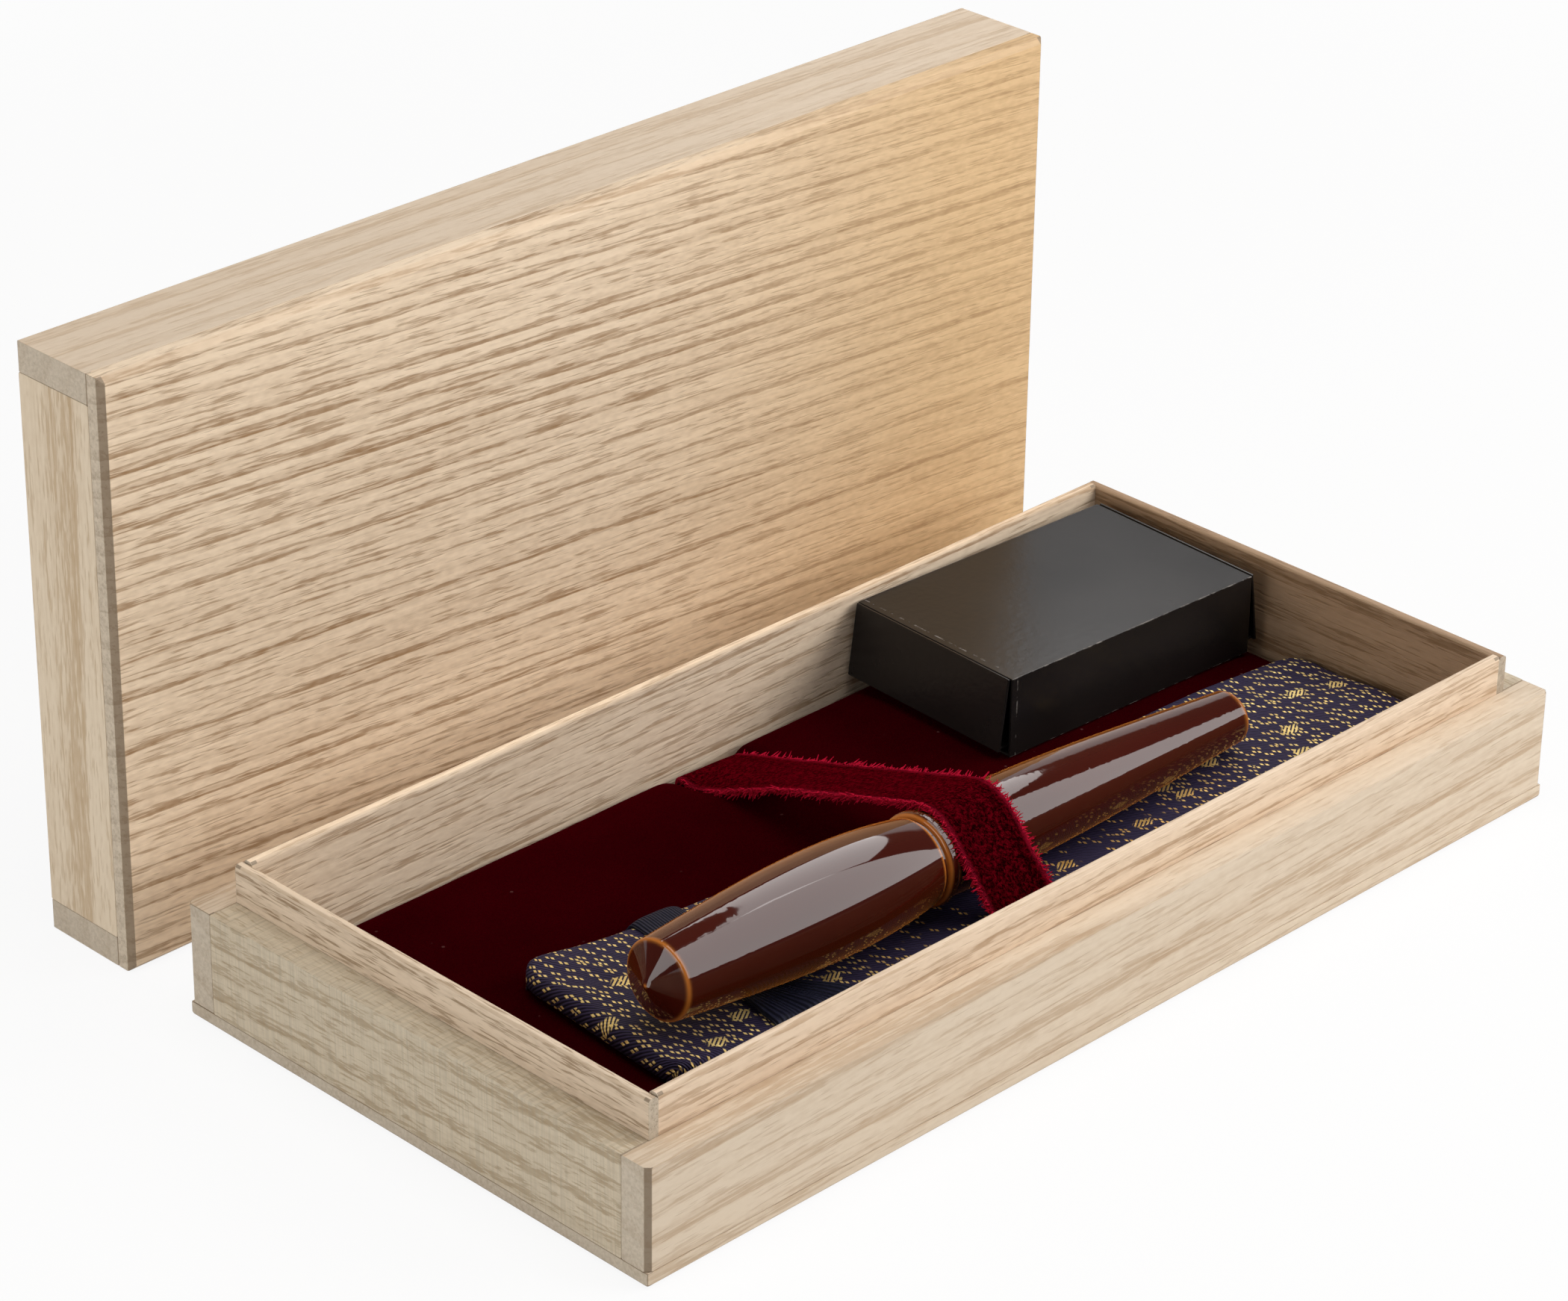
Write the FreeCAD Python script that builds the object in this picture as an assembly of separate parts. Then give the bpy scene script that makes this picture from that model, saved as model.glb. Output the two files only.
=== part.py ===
import FreeCAD, Part
import math
import os

from FreeCAD import Placement, Rotation, Vector

# A wooden presentation case for a fountain pen: a tray with a raised inner lip,
# a lift-off lid that stands on edge behind it, and what the case carries.
# Origin: middle of the tray's underside. +X along the case, +Y to the back, +Z up.
# Sizes are in millimetres and angles in degrees.

# Wooden tray
CASE_LENGTH = 228.0
CASE_DEPTH = 113.0
TRAY_WALL_TOP = 22.4
WALL = 6.0
BOTTOM_PANEL = 2.8
BOTTOM_EDGE_BREAK = 0.5
CORNER_BREAK = 0.9
LIP_BOARD = 2.0
LIP_RISE = 7.6
END_LIP_DROP = 0.3
LIP_TOP_ROUND = 0.7

# Wooden lid
LID_HEIGHT = 22.0
LID_PANEL = 3.6
LID_PANEL_BREAK = 1.1
LID_FIT = 0.25
LID_STAND_OFF = 17.5
LID_SHIFT = 0.85

# Velvet bed and the board under it
BED_BOARD = 1.8
BED_FIT = 0.4
BED_EDGE_TOP = 9.0
BED_TOP = 11.9
BED_CROWN = 0.5
BED_ROLL = 7.0
BED_WAIST = 0.5
BED_ROLL_STEPS = 3
SOFT_GAP = 0.3

# Velvet ribbon that holds the pen down
RIBBON_WIDTH = 14.2
RIBBON_THICK = 0.9
RIBBON_SKEW = -4.5
RIBBON_FROM_CAP = 8.1
RIBBON_OVER_PEN = 0.85
RIBBON_BACK_BEND_Z = 9.6
RIBBON_FRONT_BEND_Z = 11.4
RIBBON_FOOT_Z = 5.4
RIBBON_BEND = 2.2
RIBBON_SLOT_SIDE = 0.8
RIBBON_BACK_ROOM = 12.0
RIBBON_FRONT_ROOM = 1.3

# Brocade pouch under the pen
POUCH_LENGTH = 187.5
POUCH_THICK = 2.25
POUCH_CORNER = 6.0
POUCH_EDGE_ROUND = 1.0
POUCH_TURN = -4.6
POUCH_WAIST = 1.6
POUCH_END_GAP = 0.5
POUCH_FRONT_GAP = 1.0
POUCH_CARTON_ROOM = 7.4

# Woven band round the pouch
BAND_WIDTH = 10.5
BAND_THICK = 0.7
BAND_FROM_POUCH_END = 24.5
BAND_LOOP_OUT = 1.2
BAND_EDGE_ROUND = 0.3

# Pen: outer shape, measured along its axis from the rim of the cap's end
PEN_TURN = 0.81
PEN_END_ROOM = 23.9
PEN_FRONT_ROOM = 26.3
PEN_BELLY_ROOM = 0.65
CAP_TIP = 3.0
CAP_RIM_R = 7.3
CAP_SWELL_R = 9.8
CAP_SWELL_AT = 38.0
CAP_QUARTER_R = 8.5
CAP_QUARTER_AT = 14.0
CAP_SHOULDER_R = 9.42
CAP_SHOULDER_AT = 50.0
CAP_END_R = 8.15
CAP_END_AT = 60.8
CAP_GROOVE_R = 7.85
CAP_GROOVE = 1.0
CAP_RING_R = 8.7
CAP_RING = 2.2
CAP_RING_ROUND = 0.8
CAP_RIM_ROUND = 0.5
CAP_BARREL_GAP = 0.3
BARREL_MOUTH_R = 8.0
BARREL_SWELL_R = 8.2
BARREL_SWELL_AT = 20.0
BARREL_TAPER_R = 6.75
BARREL_TAPER_AT = 54.7
BARREL_END_R = 5.1
BARREL_LENGTH = 81.5
BARREL_TIP_R = 4.3
BARREL_TIP_ROUND = 1.1
BARREL_TIP = 1.8

# Pen: what is inside it
CAP_BORE_R = 6.6
CAP_BORE_END = 5.0
CAP_MOUTH_R = 7.2
CAP_MOUTH_DEPTH = 9.0
LINER_FIT = 0.05
LINER_WALL = 0.7
LINER_LENGTH = 27.0
THREAD_FIT = 0.05
THREAD_NECK = 7.4
THREAD_CLEAR = 0.15
GRIP_BACK_R = 6.2
GRIP_FRONT_R = 4.9
GRIP_LENGTH = 21.0
GRIP_LIP_R = 5.3
GRIP_LIP = 1.2
TENON_R = 5.6
TENON_LENGTH = 11.0
BARREL_BORE_R = 5.0
BARREL_BORE_LENGTH = 66.0
FEED_R = 3.0
FEED_FIT = 0.05
FEED_REACH = 15.0
FEED_FINS = 6
FEED_FIN_PITCH = 1.5
FEED_FIN_SLOT = 0.5
FEED_FIN_DEPTH = 1.0
NIB_THICK = 0.35
NIB_FIT = 0.05
NIB_REACH = 22.0
NIB_TAIL = 6.0
NIB_SHOULDER = 13.0
NIB_SPREAD = 66.0
NIB_TIP_HALF = 0.5
NIB_SLIT = 0.15
NIB_HOLE_R = 0.7
NIB_HOLE_AT = 11.0

# Ink cartridge, ten in the carton and one in the pen
CARTRIDGE_R = 3.7
CARTRIDGE_LENGTH = 50.0
CARTRIDGE_WALL = 0.6
CARTRIDGE_NECK_R = 2.7
CARTRIDGE_NECK = 6.0
CARTRIDGE_BALL_FIT = 0.02
CARTRIDGES_ACROSS = 5
CARTRIDGE_LAYERS = 2
CARTRIDGE_FIT = 0.12
CARTRIDGE_SEAT = 0.1

# Ink carton
CARD = 0.5
CARTON_LENGTH = 63.4
CARTON_WIDTH = 41.0
CARTON_HEIGHT = 16.1
CARTON_TURN = -2.7
CARTON_END_GAP = 0.8
CARTON_BACK_GAP = 0.65
FLAP_LEAN = 7.5
FLAP_CREASE = 0.2
FLAP_FOOT = 1.7
FLAP_SIDE = 0.3
TAB_LENGTH = 5.0
TAB_SIDE = 1.2
TAB_ROOM = 7.0

# Worked-out sizes shared by several pieces
half_length = CASE_LENGTH / 2
half_depth = CASE_DEPTH / 2
lip_outer_x = half_length - WALL
lip_outer_y = half_depth - WALL
inner_x = lip_outer_x - LIP_BOARD
inner_y = lip_outer_y - LIP_BOARD
board_top = BOTTOM_PANEL + BED_BOARD
soft_x = inner_x - BED_FIT
soft_y = inner_y - BED_FIT
pouch_z = BED_TOP + SOFT_GAP
pouch_top = pouch_z + POUCH_THICK
carton_z = BED_TOP + SOFT_GAP
carton_turn = math.radians(abs(CARTON_TURN))
carton_depth = CARTON_LENGTH * math.sin(carton_turn) + CARTON_WIDTH * math.cos(carton_turn)
carton_room = CARTON_BACK_GAP + carton_depth + POUCH_CARTON_ROOM
pouch_width = 2 * inner_y - carton_room - POUCH_FRONT_GAP


def block(x0, x1, y0, y1, z0, z1):
    """A square-edged board between two corners."""
    return Part.makeBox(x1 - x0, y1 - y0, z1 - z0, Vector(x0, y0, z0))


def edges_where(shape, test):
    """Edges of a shape whose end points all pass a test."""
    return [edge for edge in shape.Edges if all(test(v.Point) for v in edge.Vertexes)]


def close_to(a, b):
    """Two coordinates that are the same place."""
    return math.isclose(a, b, abs_tol=1e-4)


def arc(a, b, c):
    """Circular edge from a to c through b."""
    return Part.Arc(a, b, c).toShape()


def line(a, b):
    """Straight edge from a to b."""
    return Part.LineSegment(a, b).toShape()


def curve(points):
    """Smooth edge through a few points."""
    spline = Part.BSplineCurve()
    spline.interpolate(points)
    return spline.toShape()


def turned(edges):
    """Solid of revolution about the X axis from a closed outline in the XY plane."""
    face = Part.Face(Part.Wire(edges))
    return face.revolve(Vector(0, 0, 0), Vector(1, 0, 0), 360)


def rod(radius, start, end):
    """Plain cylinder along the X axis."""
    return Part.makeCylinder(radius, end - start, Vector(start, 0, 0), Vector(1, 0, 0))


# Tray: bottom panel under the walls, long walls over the full length,
# end walls between them, and a thin lining of boards that stands up as the lip

def tray_bottom_panel():
    panel = block(-half_length, half_length, -half_depth, half_depth, 0, BOTTOM_PANEL)
    under = edges_where(panel, lambda p: close_to(p.z, 0))
    return panel.makeChamfer(BOTTOM_EDGE_BREAK, under)


def tray_long_wall(side):
    y0, y1 = sorted((side * half_depth, side * lip_outer_y))
    wall = block(-half_length, half_length, y0, y1, BOTTOM_PANEL, TRAY_WALL_TOP)
    outer = edges_where(wall, lambda p: close_to(p.y, side * half_depth))
    upright = [e for e in outer if close_to(e.Vertexes[0].Point.x, e.Vertexes[-1].Point.x)]
    return wall.makeChamfer(CORNER_BREAK, upright)


def tray_end_wall(side):
    x0, x1 = sorted((side * half_length, side * lip_outer_x))
    return block(x0, x1, -lip_outer_y, lip_outer_y, BOTTOM_PANEL, TRAY_WALL_TOP)


def rounded_top(board, top):
    ridge = edges_where(board, lambda p: close_to(p.z, top))
    long_edge = max(edge.Length for edge in ridge)
    return board.makeFillet(LIP_TOP_ROUND, [e for e in ridge if close_to(e.Length, long_edge)])


def tray_end_lip(side):
    top = TRAY_WALL_TOP + LIP_RISE - END_LIP_DROP
    x0, x1 = sorted((side * lip_outer_x, side * inner_x))
    return rounded_top(block(x0, x1, -lip_outer_y, lip_outer_y, BOTTOM_PANEL, top), top)


def tray_long_lip(side):
    top = TRAY_WALL_TOP + LIP_RISE
    y0, y1 = sorted((side * lip_outer_y, side * inner_y))
    return rounded_top(block(-inner_x, inner_x, y0, y1, BOTTOM_PANEL, top), top)


# Lid: a top panel laid over four walls, made closed and then stood on its front wall

def stood(shape):
    """Turn a lid piece from lying closed to standing behind the tray."""
    back = half_depth + LID_STAND_OFF + LID_HEIGHT
    place = Placement(Vector(LID_SHIFT, back, half_depth), Rotation(Vector(1, 0, 0), 90))
    return shape.transformed(place.toMatrix(), True)


def lid_top_panel():
    under = LID_HEIGHT - LID_PANEL
    panel = block(-half_length, half_length, -half_depth, half_depth, under, LID_HEIGHT)
    rim = edges_where(panel, lambda p: close_to(p.z, LID_HEIGHT))
    return stood(panel.makeChamfer(LID_PANEL_BREAK, rim))


def lid_long_wall(side):
    y0, y1 = sorted((side * half_depth, side * (lip_outer_y + LID_FIT)))
    return stood(block(-half_length, half_length, y0, y1, 0, LID_HEIGHT - LID_PANEL))


def lid_end_wall(side):
    inner = lip_outer_y + LID_FIT
    x0, x1 = sorted((side * half_length, side * (lip_outer_x + LID_FIT)))
    return stood(block(x0, x1, -inner, inner, 0, LID_HEIGHT - LID_PANEL))


# Pen: every piece is turned about the X axis, with the cap's end rim at the origin,
# and then laid on the pouch, where the cap's swell and the barrel's end touch

cap_ring_start = CAP_END_AT + CAP_GROOVE
cap_mouth = cap_ring_start + CAP_RING
barrel_start = cap_mouth + CAP_BARREL_GAP
barrel_end = barrel_start + BARREL_LENGTH
collar_start = barrel_start - THREAD_NECK
grip_front = collar_start - GRIP_LENGTH
cartridge_tip = collar_start + THREAD_CLEAR - CARTRIDGE_NECK
pen_rest = pouch_top + SOFT_GAP + PEN_BELLY_ROOM
pen_pitch = math.degrees(math.asin((CAP_SWELL_R - BARREL_END_R) / (barrel_end - CAP_SWELL_AT)))
slope = math.radians(pen_pitch)
pen_rim_x = -inner_x + PEN_END_ROOM + CAP_TIP
pen_rim_y = -inner_y + PEN_FRONT_ROOM
pen_rim_z = pen_rest + CAP_SWELL_R / math.cos(slope) + CAP_SWELL_AT * math.sin(slope)


def laid(shape):
    """Lay a pen piece on the pouch, its barrel end lower than its cap."""
    turn = Rotation(Vector(0, 0, 1), PEN_TURN).multiply(Rotation(Vector(0, 1, 0), pen_pitch))
    place = Placement(Vector(pen_rim_x, pen_rim_y, pen_rim_z), turn)
    return shape.transformed(place.toMatrix(), True)


def on_pen_axis(s):
    """Point of the pen's axis a distance s from the cap's end rim."""
    turn = Rotation(Vector(0, 0, 1), PEN_TURN).multiply(Rotation(Vector(0, 1, 0), pen_pitch))
    return Vector(pen_rim_x, pen_rim_y, pen_rim_z) + turn.multVec(Vector(s, 0, 0))


def pen_cap():
    tip = Vector(-CAP_TIP, 0, 0)
    rim = Vector(0, CAP_RIM_R, 0)
    body_end = Vector(CAP_END_AT, CAP_END_R, 0)
    swell = [
        rim,
        Vector(CAP_QUARTER_AT, CAP_QUARTER_R, 0),
        Vector(CAP_SWELL_AT, CAP_SWELL_R, 0),
        Vector(CAP_SHOULDER_AT, CAP_SHOULDER_R, 0),
        body_end,
    ]
    corners = [
        body_end,
        Vector(CAP_END_AT, CAP_GROOVE_R, 0),
        Vector(cap_ring_start, CAP_GROOVE_R, 0),
        Vector(cap_ring_start, CAP_RING_R, 0),
        Vector(cap_mouth, CAP_RING_R, 0),
        Vector(cap_mouth, CAP_MOUTH_R, 0),
        Vector(cap_mouth - CAP_MOUTH_DEPTH, CAP_MOUTH_R, 0),
        Vector(cap_mouth - CAP_MOUTH_DEPTH, CAP_BORE_R, 0),
        Vector(CAP_BORE_END, CAP_BORE_R, 0),
        Vector(CAP_BORE_END, 0, 0),
        tip,
    ]
    edges = [line(tip, rim), curve(swell)]
    edges += [line(a, b) for a, b in zip(corners, corners[1:])]
    cap = turned(edges)
    ring = edges_where(cap, lambda p: close_to(math.hypot(p.y, p.z), CAP_RING_R))
    cap = cap.makeFillet(CAP_RING_ROUND, [e for e in ring if len(e.Vertexes) == 1])
    end_rim = edges_where(cap, lambda p: close_to(p.x, 0))
    return cap.makeFillet(CAP_RIM_ROUND, end_rim)


def cap_liner():
    outer = CAP_BORE_R - LINER_FIT
    start = CAP_BORE_END + LINER_FIT
    cup = rod(outer, start, start + LINER_LENGTH)
    return cup.cut(rod(outer - LINER_WALL, start + LINER_WALL, start + LINER_LENGTH))


def pen_barrel():
    mouth = Vector(barrel_start, BARREL_MOUTH_R, 0)
    foot = Vector(barrel_end, BARREL_TIP_R, 0)
    flank = [
        mouth,
        Vector(barrel_start + BARREL_SWELL_AT, BARREL_SWELL_R, 0),
        Vector(barrel_start + BARREL_TAPER_AT, BARREL_TAPER_R, 0),
        Vector(barrel_end - BARREL_TIP_ROUND, BARREL_END_R, 0),
    ]
    spread = (BARREL_END_R - BARREL_TIP_R) * math.cos(math.pi / 4)
    bend = Vector(barrel_end - BARREL_TIP_ROUND * (1 - math.sin(math.pi / 4)), BARREL_TIP_R + spread, 0)
    bore_r = TENON_R + THREAD_FIT
    step = barrel_start + TENON_LENGTH + THREAD_CLEAR
    corners = [
        Vector(barrel_end + BARREL_TIP, 0, 0),
        Vector(barrel_start + BARREL_BORE_LENGTH, 0, 0),
        Vector(barrel_start + BARREL_BORE_LENGTH, BARREL_BORE_R, 0),
        Vector(step, BARREL_BORE_R, 0),
        Vector(step, bore_r, 0),
        Vector(barrel_start, bore_r, 0),
        mouth,
    ]
    edges = [curve(flank), arc(flank[-1], bend, foot), line(foot, corners[0])]
    edges += [line(a, b) for a, b in zip(corners, corners[1:])]
    return turned(edges)


def grip_section():
    collar_r = CAP_MOUTH_R - THREAD_CLEAR
    tenon_end = barrel_start + TENON_LENGTH
    feed_bore = FEED_R + NIB_THICK + NIB_FIT + FEED_FIT
    cartridge_bore = CARTRIDGE_R + THREAD_CLEAR
    tail_bore = FEED_R + FEED_FIT
    nib_seat = grip_front + NIB_TAIL + THREAD_CLEAR
    outline = [
        Vector(grip_front, feed_bore, 0),
        Vector(grip_front, GRIP_LIP_R, 0),
        Vector(grip_front + GRIP_LIP, GRIP_LIP_R, 0),
        Vector(grip_front + GRIP_LIP, GRIP_FRONT_R, 0),
        Vector(collar_start, GRIP_BACK_R, 0),
        Vector(collar_start, collar_r, 0),
        Vector(barrel_start - THREAD_CLEAR, collar_r, 0),
        Vector(barrel_start - THREAD_CLEAR, TENON_R, 0),
        Vector(tenon_end, TENON_R, 0),
        Vector(tenon_end, cartridge_bore, 0),
        Vector(collar_start, cartridge_bore, 0),
        Vector(collar_start, tail_bore, 0),
        Vector(nib_seat, tail_bore, 0),
        Vector(nib_seat, feed_bore, 0),
    ]
    return turned([line(a, b) for a, b in zip(outline, outline[1:] + outline[:1])])


def nib_feed():
    tip = grip_front - FEED_REACH
    tail = cartridge_tip - THREAD_CLEAR
    feed = rod(FEED_R, tip, tail)
    below = [
        Vector(tip, 0, FEED_R - FEED_FIN_SLOT),
        Vector(grip_front, 0, -FEED_R),
        Vector(tip, 0, -FEED_R),
    ]
    wedge = Part.Face(Part.makePolygon(below + below[:1])).extrude(Vector(0, 2 * FEED_R, 0))
    feed = feed.cut(wedge.translated(Vector(0, -FEED_R, 0)))
    for i in range(FEED_FINS):
        x = grip_front - (i + 1) * FEED_FIN_PITCH
        gap = block(x, x + FEED_FIN_SLOT, -FEED_R, FEED_R, -FEED_R, FEED_FIN_DEPTH - FEED_R)
        feed = feed.cut(gap)
    return feed


def nib():
    tip = grip_front - NIB_REACH
    tail = grip_front + NIB_TAIL
    inside = FEED_R + NIB_FIT
    leaf = rod(inside + NIB_THICK, tip, tail).cut(rod(inside, tip, tail))
    half = (inside + NIB_THICK) * math.sin(math.radians(NIB_SPREAD))
    floor = inside * math.cos(math.radians(NIB_SPREAD))
    shoulder = tip + NIB_SHOULDER
    plan = [
        Vector(tip, -NIB_TIP_HALF, floor),
        Vector(shoulder, -half, floor),
        Vector(tail, -half, floor),
        Vector(tail, half, floor),
        Vector(shoulder, half, floor),
        Vector(tip, NIB_TIP_HALF, floor),
    ]
    blank = Part.Face(Part.makePolygon(plan + plan[:1])).extrude(Vector(0, 0, inside + NIB_THICK))
    leaf = leaf.common(blank)
    slit = block(tip, tip + NIB_HOLE_AT, -NIB_SLIT / 2, NIB_SLIT / 2, floor, inside + 2 * NIB_THICK)
    hole = Part.makeCylinder(NIB_HOLE_R, 2 * inside, Vector(tip + NIB_HOLE_AT, 0, 0))
    return leaf.cut(slit).cut(hole)


def cartridge(start):
    """One ink cartridge along the X axis, with its neck first and its bore closed at the far end."""
    end = start + CARTRIDGE_LENGTH
    neck_end = start + CARTRIDGE_NECK
    body = rod(CARTRIDGE_R, neck_end, end).fuse(rod(CARTRIDGE_NECK_R, start, neck_end))
    body = body.cut(rod(CARTRIDGE_R - CARTRIDGE_WALL, neck_end + CARTRIDGE_WALL, end - CARTRIDGE_WALL))
    return body.cut(rod(CARTRIDGE_NECK_R - CARTRIDGE_WALL, start, neck_end + CARTRIDGE_WALL))


def cartridge_ball(start):
    """Steel ball that seals the neck of one cartridge."""
    radius = CARTRIDGE_NECK_R - CARTRIDGE_WALL - CARTRIDGE_BALL_FIT
    return Part.makeSphere(radius, Vector(start + CARTRIDGE_NECK / 2, 0, 0))


def pen_cartridge():
    return cartridge(cartridge_tip)


# Pouch: a flat padded sleeve of brocade, drawn in where the woven band goes round it

def pouch_frame():
    """Place of the pouch's own frame: its middle, turned a little in the tray."""
    angle = math.radians(abs(POUCH_TURN))
    reach_x = (POUCH_LENGTH / 2) * math.cos(angle) + (pouch_width / 2) * math.sin(angle)
    reach_y = (POUCH_LENGTH / 2) * math.sin(angle) + (pouch_width / 2) * math.cos(angle)
    centre = Vector(inner_x - POUCH_END_GAP - reach_x, -inner_y + POUCH_FRONT_GAP + reach_y, pouch_z)
    return Placement(centre, Rotation(Vector(0, 0, 1), POUCH_TURN))


def on_pouch(shape):
    return shape.transformed(pouch_frame().toMatrix(), True)


band_x = BAND_FROM_POUCH_END - POUCH_LENGTH / 2
band_along = (2 * band_x + BAND_WIDTH) / POUCH_LENGTH
band_side = pouch_width / 2 - POUCH_WAIST * (1 - band_along**2)


def pouch_body():
    x = POUCH_LENGTH / 2
    y = pouch_width / 2
    corners = [Vector(-x, y, 0), Vector(x, y, 0), Vector(x, -y, 0), Vector(-x, -y, 0)]
    outline = [
        arc(corners[0], Vector(0, y - POUCH_WAIST, 0), corners[1]),
        line(corners[1], corners[2]),
        arc(corners[2], Vector(0, POUCH_WAIST - y, 0), corners[3]),
        line(corners[3], corners[0]),
    ]
    pad = Part.Face(Part.Wire(outline)).extrude(Vector(0, 0, POUCH_THICK))
    upright = [e for e in pad.Edges if close_to(e.Length, POUCH_THICK)]
    pad = pad.makeFillet(POUCH_CORNER, upright)
    faces = edges_where(pad, lambda p: close_to(p.z, 0))
    faces += edges_where(pad, lambda p: close_to(p.z, POUCH_THICK))
    pad = pad.makeFillet(POUCH_EDGE_ROUND, faces)
    deep = BAND_THICK + SOFT_GAP
    x0 = band_x - SOFT_GAP
    x1 = band_x + BAND_WIDTH + SOFT_GAP
    waist = block(x0, x1, -y, y, 0, POUCH_THICK)
    core = block(x0, x1, -band_side + deep, band_side - deep, deep, POUCH_THICK)
    return on_pouch(pad.cut(waist.cut(core)))


def pouch_tie_band():
    x1 = band_x + BAND_WIDTH
    front = -band_side
    back = band_side + BAND_LOOP_OUT
    top = POUCH_THICK + SOFT_GAP + BAND_THICK
    strip = block(band_x, x1, front, back, 0, top)
    corners = [e for e in strip.Edges if close_to(e.Length, BAND_WIDTH)]
    strip = strip.makeFillet(BAND_EDGE_ROUND, corners)
    inside = block(band_x, x1, front + BAND_THICK, back - BAND_THICK, BAND_THICK, top - BAND_THICK)
    return on_pouch(strip.cut(inside))


# Ribbon: a strip that comes up behind the bed, runs straight to the barrel, bends
# over it and goes down to the front edge of the bed

ribbon_at = on_pen_axis(cap_mouth + RIBBON_FROM_CAP)
ribbon_wrap_r = BARREL_SWELL_R + RIBBON_OVER_PEN + RIBBON_THICK / 2
ribbon_leg_y = soft_y - SOFT_GAP - RIBBON_THICK


def tangent_angle(start, centre, radius, side):
    """Direction of the line from a point that just passes over a circle."""
    dy = centre[0] - start[0]
    dz = centre[1] - start[1]
    reach = math.hypot(dy, dz)
    return math.atan2(dz, dy) + side * math.asin(radius / reach)


def crossing(a, angle_a, b, angle_b):
    """Where two lines, each given by a point and a direction, cross."""
    span = math.sin(angle_b - angle_a)
    reach = ((b[0] - a[0]) * math.sin(angle_b) - (b[1] - a[1]) * math.cos(angle_b)) / span
    return (a[0] + reach * math.cos(angle_a), a[1] + reach * math.sin(angle_a))


def bend(before, corner, after, radius, offset):
    """Arc that rounds a corner, moved sideways by an offset, as three points."""
    into = math.atan2(corner[1] - before[1], corner[0] - before[0])
    out = math.atan2(after[1] - corner[1], after[0] - corner[0])
    turn = math.remainder(out - into, 2 * math.pi)
    side = math.copysign(1, turn)
    cut = radius * math.tan(abs(turn) / 2)
    start = (corner[0] - cut * math.cos(into), corner[1] - cut * math.sin(into))
    centre = (start[0] - side * radius * math.sin(into), start[1] + side * radius * math.cos(into))
    reach = radius - side * offset
    angles = [into, into + turn / 2, out]
    return [(centre[0] + side * reach * math.sin(a), centre[1] - side * reach * math.cos(a)) for a in angles]


def ribbon_side(corners, radii, offset):
    """Edges along one face of the ribbon, in its own upright plane."""
    def place(point):
        return Vector(0, point[0], point[1])
    first = (corners[0][0] - offset, corners[0][1])
    last = (corners[-1][0] + offset, corners[-1][1])
    edges = []
    at = first
    for i, radius in enumerate(radii):
        a, m, b = bend(corners[i], corners[i + 1], corners[i + 2], radius, offset)
        edges += [line(place(at), place(a)), arc(place(a), place(m), place(b))]
        at = b
    edges.append(line(place(at), place(last)))
    return edges


def velvet_ribbon():
    centre = (ribbon_at.y, ribbon_at.z)
    back = (ribbon_leg_y, RIBBON_BACK_BEND_Z)
    front = (-ribbon_leg_y, RIBBON_FRONT_BEND_Z)
    from_back = tangent_angle(back, centre, ribbon_wrap_r, -1)
    from_front = tangent_angle(front, centre, ribbon_wrap_r, 1)
    top = crossing(back, from_back, front, from_front)
    corners = [(back[0], RIBBON_FOOT_Z), back, top, front, (front[0], RIBBON_FOOT_Z)]
    radii = [RIBBON_BEND, ribbon_wrap_r, RIBBON_BEND]
    upper = ribbon_side(corners, radii, -RIBBON_THICK / 2)
    lower = ribbon_side(corners, radii, RIBBON_THICK / 2)
    ends = [line(upper[i].Vertexes[j].Point, lower[i].Vertexes[j].Point) for i, j in ((0, 0), (-1, -1))]
    face = Part.Face(Part.Wire(Part.__sortEdges__(upper + lower + ends)))
    strip = face.extrude(Vector(RIBBON_WIDTH, 0, 0))
    return skewed(strip.translated(Vector(ribbon_at.x - RIBBON_WIDTH / 2, 0, 0)))


def skewed(shape):
    """Turn the ribbon, or a slot for it, across the case about the place where it crosses the pen."""
    return shape.rotated(ribbon_at, Vector(0, 0, 1), RIBBON_SKEW)


def ribbon_slot(side, room):
    """Gap in one long edge of the bed where the ribbon goes down."""
    half = RIBBON_WIDTH / 2 + RIBBON_SLOT_SIDE
    y0, y1 = sorted((side * (ribbon_leg_y - room), side * half_depth))
    return skewed(block(ribbon_at.x - half, ribbon_at.x + half, y0, y1, board_top, TRAY_WALL_TOP))


# Bed: a stiff board on the bottom panel and a velvet pad on it, crowned and rolled off at its edges

def bed_board():
    return block(-soft_x, soft_x, -soft_y, soft_y, BOTTOM_PANEL, board_top)


def bed_outline(x, half, share):
    """Upright outline of the pad at one place along it, with a share of its full rise."""
    shoulder = BED_EDGE_TOP + share * (BED_TOP - BED_CROWN - BED_EDGE_TOP)
    crown = BED_EDGE_TOP + share * (BED_TOP - BED_EDGE_TOP)
    bow = math.sin(math.pi / 4)
    mid_y = half - BED_ROLL * (1 - bow)
    mid_z = BED_EDGE_TOP + (shoulder - BED_EDGE_TOP) * bow
    inset = half - BED_ROLL
    low = [Vector(x, -half, board_top), Vector(x, half, board_top)]
    edge = [Vector(x, -half, BED_EDGE_TOP), Vector(x, half, BED_EDGE_TOP)]
    top = [Vector(x, -inset, shoulder), Vector(x, inset, shoulder)]
    return Part.Wire([
        line(low[0], edge[0]),
        arc(edge[0], Vector(x, -mid_y, mid_z), top[0]),
        arc(top[0], Vector(x, 0, crown), top[1]),
        arc(top[1], Vector(x, mid_y, mid_z), edge[1]),
        line(edge[1], low[1]),
        line(low[1], low[0]),
    ])


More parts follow.
